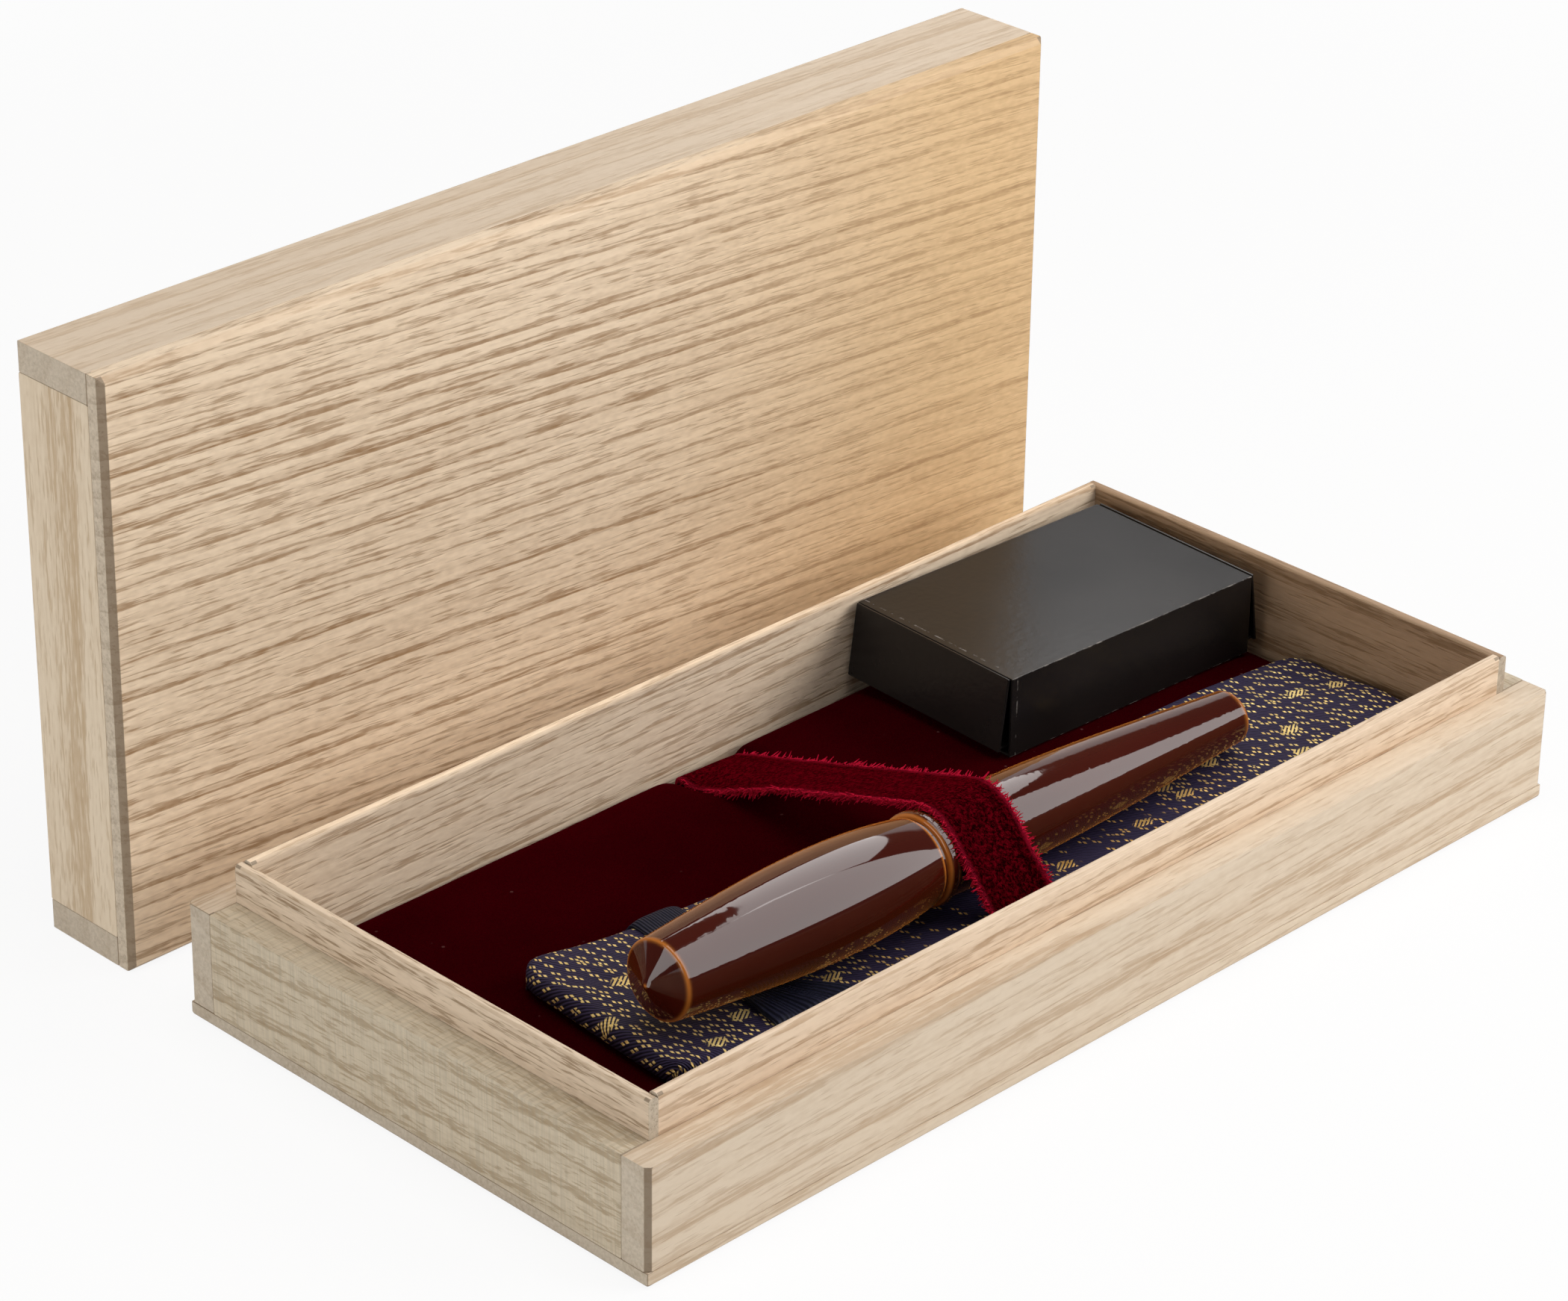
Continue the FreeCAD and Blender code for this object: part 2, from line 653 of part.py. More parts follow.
def velvet_bed():
    angles = [(math.pi / 2) * (i + 1) / (BED_ROLL_STEPS + 1) for i in range(BED_ROLL_STEPS + 1)]
    ends = [(soft_x - BED_ROLL * (math.cos(angles[0]) - math.cos(a)), math.sin(a)) for a in angles]
    outlines = [bed_outline(-x, soft_y, share) for x, share in ends]
    outlines.append(bed_outline(0, soft_y - BED_WAIST, 1))
    outlines += [bed_outline(x, soft_y, share) for x, share in reversed(ends)]
    pad = Part.makeLoft(outlines, True, True)
    return pad.cut(ribbon_slot(1, RIBBON_BACK_ROOM)).cut(ribbon_slot(-1, RIBBON_FRONT_ROOM))


# Carton: a sleeve of folded card with a leaning flap at each end, made with its
# front lower left corner at the origin and then turned into the back corner of the tray

flap_foot_out = (CARTON_HEIGHT - FLAP_FOOT) * math.tan(math.radians(FLAP_LEAN)) + CARD + FLAP_CREASE


def boxed(shape):
    """Set a carton piece down on the bed in the back right corner of the tray."""
    half_span = CARTON_LENGTH / 2 + flap_foot_out
    reach_x = half_span * math.cos(carton_turn) + (CARTON_WIDTH / 2) * math.sin(carton_turn)
    centre_y = inner_y - CARTON_BACK_GAP - carton_depth / 2
    centre = Vector(inner_x - CARTON_END_GAP - reach_x, centre_y, carton_z)
    turn = Rotation(Vector(0, 0, 1), CARTON_TURN)
    corner = centre - turn.multVec(Vector(CARTON_LENGTH / 2, CARTON_WIDTH / 2, 0))
    return shape.transformed(Placement(corner, turn).toMatrix(), True)


def carton_sleeve():
    sleeve = block(0, CARTON_LENGTH, 0, CARTON_WIDTH, 0, CARTON_HEIGHT)
    inside = block(0, CARTON_LENGTH, CARD, CARTON_WIDTH - CARD, CARD, CARTON_HEIGHT - CARD)
    return boxed(sleeve.cut(inside))


def end_flap():
    """Left end flap with its tuck tab, hung from the crease at the top edge."""
    drop = (CARTON_HEIGHT - FLAP_FOOT) / math.cos(math.radians(FLAP_LEAN))
    panel = block(-CARD - FLAP_CREASE, -FLAP_CREASE, FLAP_SIDE, CARTON_WIDTH - FLAP_SIDE, -drop, 0)
    tab = block(-FLAP_CREASE, TAB_LENGTH, TAB_SIDE, CARTON_WIDTH - TAB_SIDE, -drop, CARD - drop)
    flap = panel.fuse(tab).removeSplitter()
    flap.rotate(Vector(0, 0, 0), Vector(0, 1, 0), FLAP_LEAN)
    return flap.translated(Vector(0, 0, CARTON_HEIGHT))


def carton_left_flap():
    return boxed(end_flap())


def carton_right_flap():
    middle = Vector(CARTON_LENGTH / 2, CARTON_WIDTH / 2, 0)
    return boxed(end_flap().rotated(middle, Vector(0, 0, 1), 180))


def cartridge_places():
    """Middle line of each cartridge, in layers on the carton's floor."""
    pitch = 2 * (CARTRIDGE_R + CARTRIDGE_FIT / 2)
    side = (CARTON_WIDTH - pitch * (CARTRIDGES_ACROSS - 1)) / 2
    places = []
    for layer in range(CARTRIDGE_LAYERS):
        for i in range(CARTRIDGES_ACROSS):
            places.append(Vector(0, side + i * pitch, CARD + CARTRIDGE_SEAT + CARTRIDGE_R + layer * pitch))
    return places


cartridge_start = CARTON_LENGTH - TAB_ROOM - CARTRIDGE_LENGTH


def ink_cartridges():
    one = cartridge(cartridge_start)
    return boxed(Part.makeCompound([one.translated(place) for place in cartridge_places()]))


def cartridge_balls():
    one = cartridge_ball(cartridge_start)
    return boxed(Part.makeCompound([one.translated(place) for place in cartridge_places()]))


# One file for each piece

pieces = {
    "tray_bottom_panel": tray_bottom_panel(),
    "tray_front_wall": tray_long_wall(-1),
    "tray_back_wall": tray_long_wall(1),
    "tray_left_wall": tray_end_wall(-1),
    "tray_right_wall": tray_end_wall(1),
    "tray_front_lip": tray_long_lip(-1),
    "tray_back_lip": tray_long_lip(1),
    "tray_left_lip": tray_end_lip(-1),
    "tray_right_lip": tray_end_lip(1),
    "bed_board": bed_board(),
    "velvet_bed": velvet_bed(),
    "velvet_ribbon": velvet_ribbon(),
    "lid_top_panel": lid_top_panel(),
    "lid_front_wall": lid_long_wall(-1),
    "lid_back_wall": lid_long_wall(1),
    "lid_left_wall": lid_end_wall(-1),
    "lid_right_wall": lid_end_wall(1),
    "pouch_body": pouch_body(),
    "pouch_tie_band": pouch_tie_band(),
    "pen_cap": laid(pen_cap()),
    "cap_liner": laid(cap_liner()),
    "pen_barrel": laid(pen_barrel()),
    "grip_section": laid(grip_section()),
    "nib_feed": laid(nib_feed()),
    "nib": laid(nib()),
    "pen_cartridge": laid(pen_cartridge()),
    "carton_sleeve": carton_sleeve(),
    "carton_left_flap": carton_left_flap(),
    "carton_right_flap": carton_right_flap(),
    "ink_cartridges": ink_cartridges(),
    "cartridge_balls": cartridge_balls(),
}

os.makedirs("parts", exist_ok=True)
for name, shape in pieces.items():
    shape.exportStep("parts/" + name + ".step")
    print(name, len(shape.Solids), "solids,", round(shape.Volume), "mm3, valid", shape.isValid())
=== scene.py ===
import bmesh
import bpy
import math
import random
from mathutils import Matrix, Vector, noise


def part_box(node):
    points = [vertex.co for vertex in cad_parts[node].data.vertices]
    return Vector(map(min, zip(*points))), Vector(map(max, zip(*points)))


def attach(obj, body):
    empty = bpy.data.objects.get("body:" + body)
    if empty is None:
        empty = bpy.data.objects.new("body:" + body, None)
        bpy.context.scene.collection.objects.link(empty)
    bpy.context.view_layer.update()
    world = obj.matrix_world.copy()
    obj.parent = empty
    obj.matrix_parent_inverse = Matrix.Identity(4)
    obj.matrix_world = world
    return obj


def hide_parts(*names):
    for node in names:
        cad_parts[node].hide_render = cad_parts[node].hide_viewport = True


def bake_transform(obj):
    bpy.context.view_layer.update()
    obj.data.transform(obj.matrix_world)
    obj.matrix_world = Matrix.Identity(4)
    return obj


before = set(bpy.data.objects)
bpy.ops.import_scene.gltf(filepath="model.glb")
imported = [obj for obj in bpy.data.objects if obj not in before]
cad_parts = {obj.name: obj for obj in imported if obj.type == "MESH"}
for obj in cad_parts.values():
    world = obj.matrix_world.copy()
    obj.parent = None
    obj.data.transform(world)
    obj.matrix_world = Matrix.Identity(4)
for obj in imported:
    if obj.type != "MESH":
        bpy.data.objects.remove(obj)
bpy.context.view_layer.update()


# Tray: planed paulownia boards glued edge to edge, a bottom panel under four walls and a thin lining
# that stands up above them as the lip. The wood is bare, so its growth rings, its open pores and the
# end grain of the long boards all show.

mm = 0.001


class Tone:
    """A number, colour or direction on its way through a finish."""

    def __init__(self, finish, socket):
        self.finish = finish
        self.socket = socket

    def other(self, name):
        return Tone(self.finish, self.socket.node.outputs[name])

    def work(self, operation, first, second=0.0):
        return self.finish.node("ShaderNodeMath", {"operation": operation}, {0: first, 1: second})

    def __add__(self, other):
        return self.work("ADD", self, other)

    def __radd__(self, other):
        return self.work("ADD", other, self)

    def __sub__(self, other):
        return self.work("SUBTRACT", self, other)

    def __rsub__(self, other):
        return self.work("SUBTRACT", other, self)

    def __mul__(self, other):
        return self.work("MULTIPLY", self, other)

    def __truediv__(self, other):
        return self.work("DIVIDE", self, other)

    def __pow__(self, other):
        return self.work("POWER", self, other)

    def __abs__(self):
        return self.work("ABSOLUTE", self)


class Finish:
    """A material whose nodes end in one shader."""

    def __init__(self, name, constants):
        self.material = bpy.data.materials.new(name)
        self.material.use_nodes = True
        self.tree = self.material.node_tree
        self.shader = self.tree.nodes["Principled BSDF"]
        for socket, value in constants.items():
            self.shader.inputs[socket].default_value = value

    def node(self, kind, settings, sockets, out=0):
        made = self.tree.nodes.new(kind)
        for key, value in settings.items():
            if key == "stops":
                ramp = made.color_ramp.elements
                ramp[0].position, ramp[0].color = value[0]
                ramp[1].position, ramp[1].color = value[-1]
                for place, colour in value[1:-1]:
                    ramp.new(place).color = colour
            else:
                setattr(made, key, value)
        for key, value in sockets.items():
            if isinstance(value, Tone):
                self.tree.links.new(value.socket, made.inputs[key])
            else:
                made.inputs[key].default_value = value
        return Tone(self, made.outputs[out])

    def place(self):
        return self.node("ShaderNodeTexCoord", {}, {}, "Object")

    def weave(self):
        return self.node("ShaderNodeUVMap", {"uv_map": "cloth"}, {})

    def part(self, place, axis):
        return self.node("ShaderNodeSeparateXYZ", {}, {0: place}, axis)

    def stretch(self, place, scale, turn=(0, 0, 0)):
        return self.node("ShaderNodeMapping", {}, {"Vector": place, "Scale": scale, "Rotation": turn})

    def cloud(self, place, scale, detail=2.0, rough=0.5):
        sockets = {"Vector": place, "Scale": scale, "Detail": detail, "Roughness": rough}
        return self.node("ShaderNodeTexNoise", {}, sockets)

    def streaks(self, place, scale, detail=2.0, rough=0.5):
        return self.cloud(self.stretch(place, scale), 1.0, detail, rough)

    def ease(self, value, low, high):
        settings = {"interpolation_type": "SMOOTHSTEP", "clamp": True}
        sockets = {"Value": value, "From Min": low, "From Max": high}
        return self.node("ShaderNodeMapRange", settings, sockets)

    def tint(self, share, first, second, blend="MIX"):
        settings = {"data_type": "RGBA", "blend_type": blend, "clamp_factor": True}
        return self.node("ShaderNodeMix", settings, {0: share, 6: first, 7: second}, 2)

    def along(self, place, axis, start):
        settings = {"operation": "DOT_PRODUCT"}
        reach = self.node("ShaderNodeVectorMath", settings, {0: place, 1: axis}, "Value")
        return reach - Vector(start).dot(Vector(axis))

    def relief(self, height, strength, depth):
        sockets = {"Strength": strength, "Distance": depth, "Height": height}
        self.feed("Normal", self.node("ShaderNodeBump", {}, sockets))

    def feed(self, socket, value):
        self.tree.links.new(value.socket, self.shader.inputs[socket])


def grey(shade):
    return (shade, shade, shade, 1.0)


def rgb(red, green, blue):
    return (red, green, blue, 1.0)


def paulownia(board, turn, pith, ring, light, dark, bands, pores, pore=(90, 1500), scratches=0.0,
              warmth=0.0):
    """Bare wood for one board, whose grain runs along X once its pattern is turned.

    The rings lie round the pith, a ring's width apart. bands and pores say how strongly the rings and
    the pores show, and pore how closely the pores come along and across the grain, in each metre.
    """
    wood = Finish(board + "_wood", {"Specular IOR Level": 0.25})
    place = wood.place()
    own = wood.stretch(place, (1, 1, 1), turn)
    slow = wood.streaks(own, (3, 22, 22))
    parts = wood.part(own, "Y")
    radius = ((parts - pith[0]) ** 2.0 + (parts.other("Z") - pith[1]) ** 2.0) ** 0.5
    rings = radius / ring + (slow - 0.5) * 1.1
    phase = rings.work("FRACT", rings)
    count = rings.work("FLOOR", rings)
    year = wood.node("ShaderNodeTexWhiteNoise", {"noise_dimensions": "1D"}, {"W": count})
    stops = [(0.0, grey(0.1)), (0.08, grey(1)), (0.35, grey(0.7)), (0.65, grey(0.12)), (1.0, grey(0))]
    early = wood.node("ShaderNodeValToRGB", {"stops": stops}, {0: phase})
    early = early * (year * 0.65 + 0.35)
    hair = wood.streaks(own, (24, 900, 900), 3.0, 0.65)
    silk = wood.streaks(own, (420, 1200, 1200), 1.0)
    vessel = wood.streaks(own, (pore[0], pore[1], pore[1]), 2.5, 0.6)
    dash = wood.ease(vessel + early * 0.17, 0.55, 0.66)
    broad = wood.streaks(own, (4, 20, 20))
    calm = 1.0
    if warmth:
        sunny = wood.ease(wood.part(own, "X"), -0.02, 0.1)
        calm = 1 - sunny * 0.55
    depth = (early * bands + dash * pores) * calm
    depth = depth + (hair - 0.5) * 0.8 + (silk - 0.5) * 0.45 + (broad - 0.5) * 0.45
    colour = wood.tint(depth + 0.06, light, dark)
    if warmth:
        colour = wood.tint(sunny * warmth, colour, rgb(0.82, 0.70, 0.51), "MULTIPLY")
    if scratches:
        saw = wood.streaks(own, (2300, 70, 70))
        colour = wood.tint((saw - 0.42) * scratches, colour, rgb(0.36, 0.31, 0.23))
    break_width = 1.1 * mm
    low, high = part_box(board)
    gaps = []
    for axis in ((1, 0, 0), (0, 1, 0), (0, 0, 1)):
        past = wood.along(place, axis, low)
        gaps.append(past.work("MINIMUM", past, (high - low).dot(Vector(axis)) - past))
    end = gaps.pop(max(range(3), key=lambda side: high[side] - low[side]))
    inset = end.work("MINIMUM", end, end.work("MINIMUM", gaps[0], gaps[1]))
    # Every arris and chamfer face, found by lying off all three faces of the box, is darkened a little:
    # painted shade.
    arris_painted_shade = wood.ease(inset, 0.02 * mm, 0.06 * mm)
    colour = wood.tint(arris_painted_shade * 0.45, colour, rgb(0.46, 0.33, 0.21))
    butt = 1 - wood.ease(end, 0.02 * mm, 0.1 * mm)
    speck = wood.cloud(own, 1300.0, 2.0, 0.7)
    cut = wood.tint(wood.ease(speck, 0.3, 0.7), rgb(0.42, 0.365, 0.285), rgb(0.55, 0.485, 0.39))
    colour = wood.tint(butt * 0.7, colour, cut)
    # The corner chamfers near a board's ends, off the end grain, are darkened much more: a painted
    # shadow standing in for the shade on those slanted faces.
    corner_painted_shade = arris_painted_shade * (1 - wood.ease(end, break_width, break_width + 0.2 * mm)) * (1 - butt)
    colour = wood.tint(corner_painted_shade * 0.75, colour, rgb(0.2, 0.15, 0.1))
    wood.feed("Base Color", colour)
    wood.feed("Roughness", 0.5 + early * 0.12 + hair * 0.15)
    wood.relief(hair * 0.4 - dash * 0.6 + silk * 0.35, 0.3, 0.4 * mm)
    return wood.material


def dress(node, material, ease=0.0):
    """Give a carried-over board its finish, with its sharp arrises taken off."""
    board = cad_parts[node]
    board.data.materials.clear()
    board.data.materials.append(material)
    if ease:
        weld = board.modifiers.new("weld", "WELD")
        weld.merge_threshold = 0.01 * mm
        worn = board.modifiers.new("arris", "BEVEL")
        worn.width = ease
        worn.segments = 2
        worn.limit_method = "ANGLE"
        worn.harden_normals = True


quarter = math.pi / 2
arris = 0.25 * mm
front_light = rgb(0.70, 0.585, 0.45)
front_dark = rgb(0.47, 0.335, 0.215)
for board in ("tray_bottom_panel", "tray_front_wall"):
    wood = paulownia(board, turn=(0, math.radians(1.6), 0), pith=(-0.02, -0.09), ring=6.2 * mm,
                     light=front_light, dark=front_dark, bands=0.4, pores=0.4)
    dress(board, wood, arris)
wood = paulownia("tray_back_wall", turn=(0, math.radians(-1.2), 0), pith=(0.11, -0.07), ring=5.5 * mm,
                 light=front_light, dark=front_dark, bands=0.4, pores=0.4)
dress("tray_back_wall", wood, arris)
for board in ("tray_left_wall", "tray_right_wall"):
    wood = paulownia(board, turn=(math.radians(2), 0, -quarter), pith=(0.09, -0.06), ring=4.8 * mm,
                     light=rgb(0.62, 0.53, 0.395), dark=rgb(0.34, 0.245, 0.14), bands=0.16, pores=0.5,
                     pore=(240, 1900), scratches=1.4)
    dress(board, wood, arris)
long_lips = {"tray_front_lip": rgb(0.82, 0.655, 0.49), "tray_back_lip": rgb(0.92, 0.75, 0.56)}
for board, light in long_lips.items():
    wood = paulownia(board, turn=(0, math.radians(0.8), 0), pith=(0.02, -0.12), ring=3.6 * mm,
                     light=light, dark=rgb(0.44, 0.285, 0.165), bands=0.3, pores=0.5)
    dress(board, wood)
wood = paulownia("tray_left_lip", turn=(0, 0, -quarter), pith=(0.05, -0.1), ring=3.4 * mm,
                 light=rgb(0.74, 0.60, 0.45), dark=rgb(0.29, 0.19, 0.105), bands=0.3, pores=0.66,
                 pore=(150, 2300))
dress("tray_left_lip", wood)
# The right lip's wood is about half as bright as the left lip's: painted shade for its inner face, which
# stands in shadow.
wood = paulownia("tray_right_lip", turn=(0, 0, -quarter), pith=(0.05, -0.08), ring=4.2 * mm,
                 light=rgb(0.37, 0.245, 0.15), dark=rgb(0.20, 0.115, 0.055), bands=0.35, pores=0.5)
dress("tray_right_lip", wood)


# Lid: a broad paulownia panel with chamfered edges over four walls, loose, stood on its front wall
# behind the tray. The panel is cut with a strong streaky grain that runs a little askew.

wood = paulownia("lid_top_panel", turn=(0, math.radians(-3.0), 0), pith=(0.02, -0.16), ring=3.3 * mm,
                 light=rgb(0.90, 0.725, 0.53), dark=rgb(0.34, 0.20, 0.095), bands=0.32, pores=0.46,
                 warmth=1.0)
dress("lid_top_panel", wood, 0.2 * mm)
for board in ("lid_front_wall", "lid_back_wall"):
    wood = paulownia(board, turn=(0, 0, math.radians(1)), pith=(-0.09, 0.02), ring=5.8 * mm,
                     light=rgb(0.73, 0.595, 0.45), dark=rgb(0.54, 0.39, 0.25), bands=0.3, pores=0.4)
    dress(board, wood, arris)
for board in ("lid_left_wall", "lid_right_wall"):
    wood = paulownia(board, turn=(0, quarter, 0), pith=(0.0, -0.16), ring=4.6 * mm,
                     light=rgb(0.76, 0.635, 0.475), dark=rgb(0.52, 0.38, 0.235), bands=0.3, pores=0.5,
                     pore=(150, 1700))
    dress(board, wood, arris)


# Velvet bed: a thin pad of wadding on a stiff board, covered in dark burgundy velvet whose edges are
# rolled down between the pad and the tray's lining. The strap goes down through two gaps in it.

def new_piece(name, mesh_maker, body, material):
    """Turn a bmesh into a piece that rides on a body, unless it is to stretch between two."""
    mesh = bpy.data.meshes.new(name)
    mesh_maker.to_mesh(mesh)
    mesh_maker.free()
    mesh.polygons.foreach_set("use_smooth", [True] * len(mesh.polygons))
    piece = bpy.data.objects.new(name, mesh)
    bpy.context.scene.collection.objects.link(piece)
    mesh.materials.append(material)
    if body:
        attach(piece, body)
    return piece


def swell(piece, pressure, most, held):
    """Blow a closed cloth form up a little, with no point moving further than most."""
    points = piece.data.vertices
    before = [point.co.copy() for point in points]
    group = piece.vertex_groups.new(name="held")
    for point in points:
        group.add([point.index], held(point.co), "REPLACE")
    cloth = piece.modifiers.new("cloth", "CLOTH")
    cloth.settings.quality = 5
    cloth.settings.mass = 0.02
    cloth.settings.tension_stiffness = 6
    cloth.settings.compression_stiffness = 6
    cloth.settings.bending_stiffness = 0.3
    cloth.settings.vertex_group_mass = "held"
    cloth.settings.use_pressure = True
    cloth.settings.uniform_pressure_force = pressure
    cloth.settings.effector_weights.gravity = 0
    scene = bpy.context.scene
    last_step = 20
    for step in range(1, last_step + 1):
        scene.frame_set(step)
    settled = piece.evaluated_get(bpy.context.evaluated_depsgraph_get()).data.vertices
    after = [point.co.copy() for point in settled]
    piece.modifiers.remove(cloth)
    piece.vertex_groups.remove(group)
    scene.frame_set(1)
    for point, start, end in zip(points, before, after):
        move = end - start
        if move.length > most:
            move *= most / move.length
        point.co = start + move


def ramp(value, low, high):
    """Smooth step from 0 at low to 1 at high."""
    share = min(max((value - low) / (high - low), 0.0), 1.0)
    return share * share * (3 - 2 * share)


velvet = Finish("burgundy_velvet", {"Roughness": 1.0, "Specular IOR Level": 0.0, "Sheen Weight": 0.2,
                                    "Sheen Roughness": 0.4, "Sheen Tint": rgb(0.22, 0.0005, 0.008)})
place = velvet.place()
pile = velvet.cloud(place, 60.0, 3.0)
nap = velvet.cloud(place, 2600.0, 2.0)
lint = velvet.node("ShaderNodeTexVoronoi", {}, {"Vector": place, "Scale": 260.0})
lint = (1 - velvet.ease(lint, 0.05, 0.11)) * velvet.ease(velvet.cloud(place, 90.0), 0.56, 0.66)
shade = velvet.tint(pile * 0.6 + nap * 0.5, rgb(0.008, 0.0001, 0.0004), rgb(0.034, 0.0003, 0.0016))
velvet.feed("Base Color", velvet.tint(lint * 0.35, shade, rgb(0.2, 0.1, 0.09)))
velvet.relief(nap, 0.5, 0.4 * mm)

bed_half = (105.5 * mm, 48.0 * mm)
bed_low = 4.7 * mm
bed_edge = 8.7 * mm
bed_crown = 11.55 * mm
bed_roll = 6.5 * mm
bed_skin = bed_edge - 1.5 * mm
bed_held = (8.0 * mm, 10.5 * mm)
strap_cross = Vector((-7.076, -21.182, 23.7225)) * mm
strap_turn = math.radians(-4.5)
gap_side = (5.5 * mm, 9.5 * mm)
gap_back = (31 * mm, 44 * mm)
gap_front = (43.5 * mm, 47.5 * mm)
gap_back_depth = 4.2 * mm
gap_front_depth = 2.6 * mm

shape = bmesh.new()
bmesh.ops.create_cube(shape, size=2.0)
bmesh.ops.scale(shape, vec=(bed_half[0], bed_half[1], (bed_crown - bed_low) / 2), verts=shape.verts)
bmesh.ops.translate(shape, vec=(0, 0, (bed_crown + bed_low) / 2), verts=shape.verts)
bed = new_piece("bed_cover", shape, "tray", velvet.material)
remesh = bed.modifiers.new("remesh", "REMESH")
remesh.mode = "VOXEL"
remesh.voxel_size = 2.2 * mm
remeshed = bpy.data.meshes.new_from_object(bed.evaluated_get(bpy.context.evaluated_depsgraph_get()))
bed.modifiers.remove(remesh)
bed.data = remeshed
for point in bed.data.vertices:
    inset = min(bed_half[0] - abs(point.co.x), bed_half[1] - abs(point.co.y))
    share = math.sqrt(max(0.0, 1 - (1 - min(max(inset / bed_roll, 0), 1)) ** 2))
    if point.co.z > (bed_crown + bed_low) / 2:
        point.co.z = bed_edge + (bed_crown - bed_edge) * share - (bed_crown - point.co.z) * 0.2
swell(bed, pressure=4.0, most=0.3 * mm, held=lambda co: 1.0 - ramp(co.z, *bed_held))
for point in bed.data.vertices:
    co = point.co
    turned = Matrix.Rotation(-strap_turn, 3, "Z") @ (co - strap_cross)
    across = 1 - ramp(abs(turned.x), *gap_side)
    back = ramp(co.y, *gap_back) * gap_back_depth
    front = ramp(-co.y, *gap_front) * gap_front_depth
    ripple = noise.noise(co * 70) * 0.12 * mm + noise.noise(co * 220) * 0.05 * mm
    if co.z > bed_skin:
        co.z += ripple - across * max(back, front)
smooth = bed.modifiers.new("smooth", "SUBSURF")
smooth.levels = 1
smooth.render_levels = 1
bed.data.polygons.foreach_set("use_smooth", [True] * len(bed.data.polygons))
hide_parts("velvet_bed")

card = Finish("bed_card", {"Roughness": 0.9})
fibre = card.cloud(card.place(), 900.0, 4.0)
card.feed("Base Color", card.tint(fibre, rgb(0.40, 0.34, 0.27), rgb(0.58, 0.51, 0.42)))
card.relief(fibre, 0.2, 0.2 * mm)
dress("bed_board", card.material)


# Brocade pouch: a flat sleeve of navy ribbed silk with gold flecks woven in, folded and laid under the
# pen. Its left end is a thick rounded fold, its right end climbs the tray's wall, and the pen presses
# a shallow trough along it.

pen_rim = Vector((-79.1, -22.2, 26.866)) * mm
pen_axis = Vector((0.998949, 0.014123, -0.043599)).normalized()
pen_girth = [(-3.0, 0.1), (0.0, 7.3), (14.0, 8.5), (38.0, 9.8), (50.0, 9.42), (60.8, 8.15), (61.8, 8.7),
             (64.0, 8.7), (84.3, 8.2), (119.0, 6.75), (145.8, 5.1), (147.6, 0.1)]


def pen_underside(x, y):
    """Height of the pen's lower surface over a point of the tray, or None beside the pen."""
    at = (x - pen_rim.x) / pen_axis.x
    middle = pen_rim + pen_axis * at
    for (s0, r0), (s1, r1) in zip(pen_girth, pen_girth[1:]):
        if s0 * mm <= at <= s1 * mm:
            radius = (r0 + (r1 - r0) * (at / mm - s0) / (s1 - s0)) * mm
            beside = y - middle.y
            if abs(beside) < radius:
                return middle.z - math.sqrt(radius**2 - beside**2)
    return None


pouch_middle = Vector((10.2873, -18.0477, 0)) * mm
pouch_turn = Matrix.Rotation(math.radians(-4.6), 3, "Z")
pouch_half = (93.75 * mm, 22.0 * mm)
pouch_waist = 1.6 * mm
pouch_corner = 6.5 * mm
pouch_floor = 12.0 * mm
pouch_rim = (2.0 * mm, 1.4 * mm)
cloth_thick = 2.75 * mm
fold_rise = 1.9 * mm
fold_reach = 15 * mm
climb_run = (66 * mm, 93 * mm)
climb_front = 1.9 * mm
climb_side = (-14 * mm, 4 * mm)
climb_thins = 1.0 * mm
under_pen = 0.15 * mm
rim_rows = 6


def pouch_point(a, b):
    """Point of the tray under a point of the pouch's own plan."""
    return pouch_middle + pouch_turn @ Vector((a, b, 0))


def pouch_thickness(a, b):
    """How thick the folded cloth lies at a point of its own plan."""
    fold = fold_rise * math.exp(-(((a + pouch_half[0]) / fold_reach) ** 2))
    climb = ramp(a, *climb_run)
    right = climb * (climb_front * ramp(-b, *climb_side) - climb_thins)
    wave = noise.noise(Vector((a * 45, b * 70, 1.7))) * 0.35 * mm
    natural = cloth_thick + fold + right + wave
    at = pouch_point(a, b)
    above = pen_underside(at.x, at.y)
    if above is None:
        return natural
    return min(natural, above - pouch_floor - under_pen)


def rim_share(row, rows):
    """Inset in rim radii and share of the thickness for one row of cloth round a rolled rim."""
    near = min(row, rows - row)
    if near >= rim_rows:
        return None
    angle = math.pi * (near / rim_rows - 0.5)
    return 1 - math.cos(angle), 0.5 + 0.5 * math.sin(angle)


def rim_place(row, rows, half, radius):
    """Place across the cloth, share of its thickness and length of cloth up to there, for one row."""
    side = -1 if row < rows / 2 else 1
    flat = half - radius
    rolled = rim_share(row, rows)
    if rolled:
        round_rim = radius * math.pi * (1 - min(row, rows - row) / rim_rows)
        return side * (half - rolled[0] * radius), rolled[1], side * (flat + round_rim)
    step = 2 * flat / (rows - 2 * rim_rows)
    at = -flat + (row - rim_rows) * step
    return at, 1.0, at


def lay_weave(cloth_mesh, laid):
    """Give each point its place on the flat cloth, which the weave follows."""
    weave = cloth_mesh.loops.layers.uv.new("cloth")
    for face in cloth_mesh.faces:
        for loop in face.loops:
            loop[weave].uv = laid[loop.vert.index]


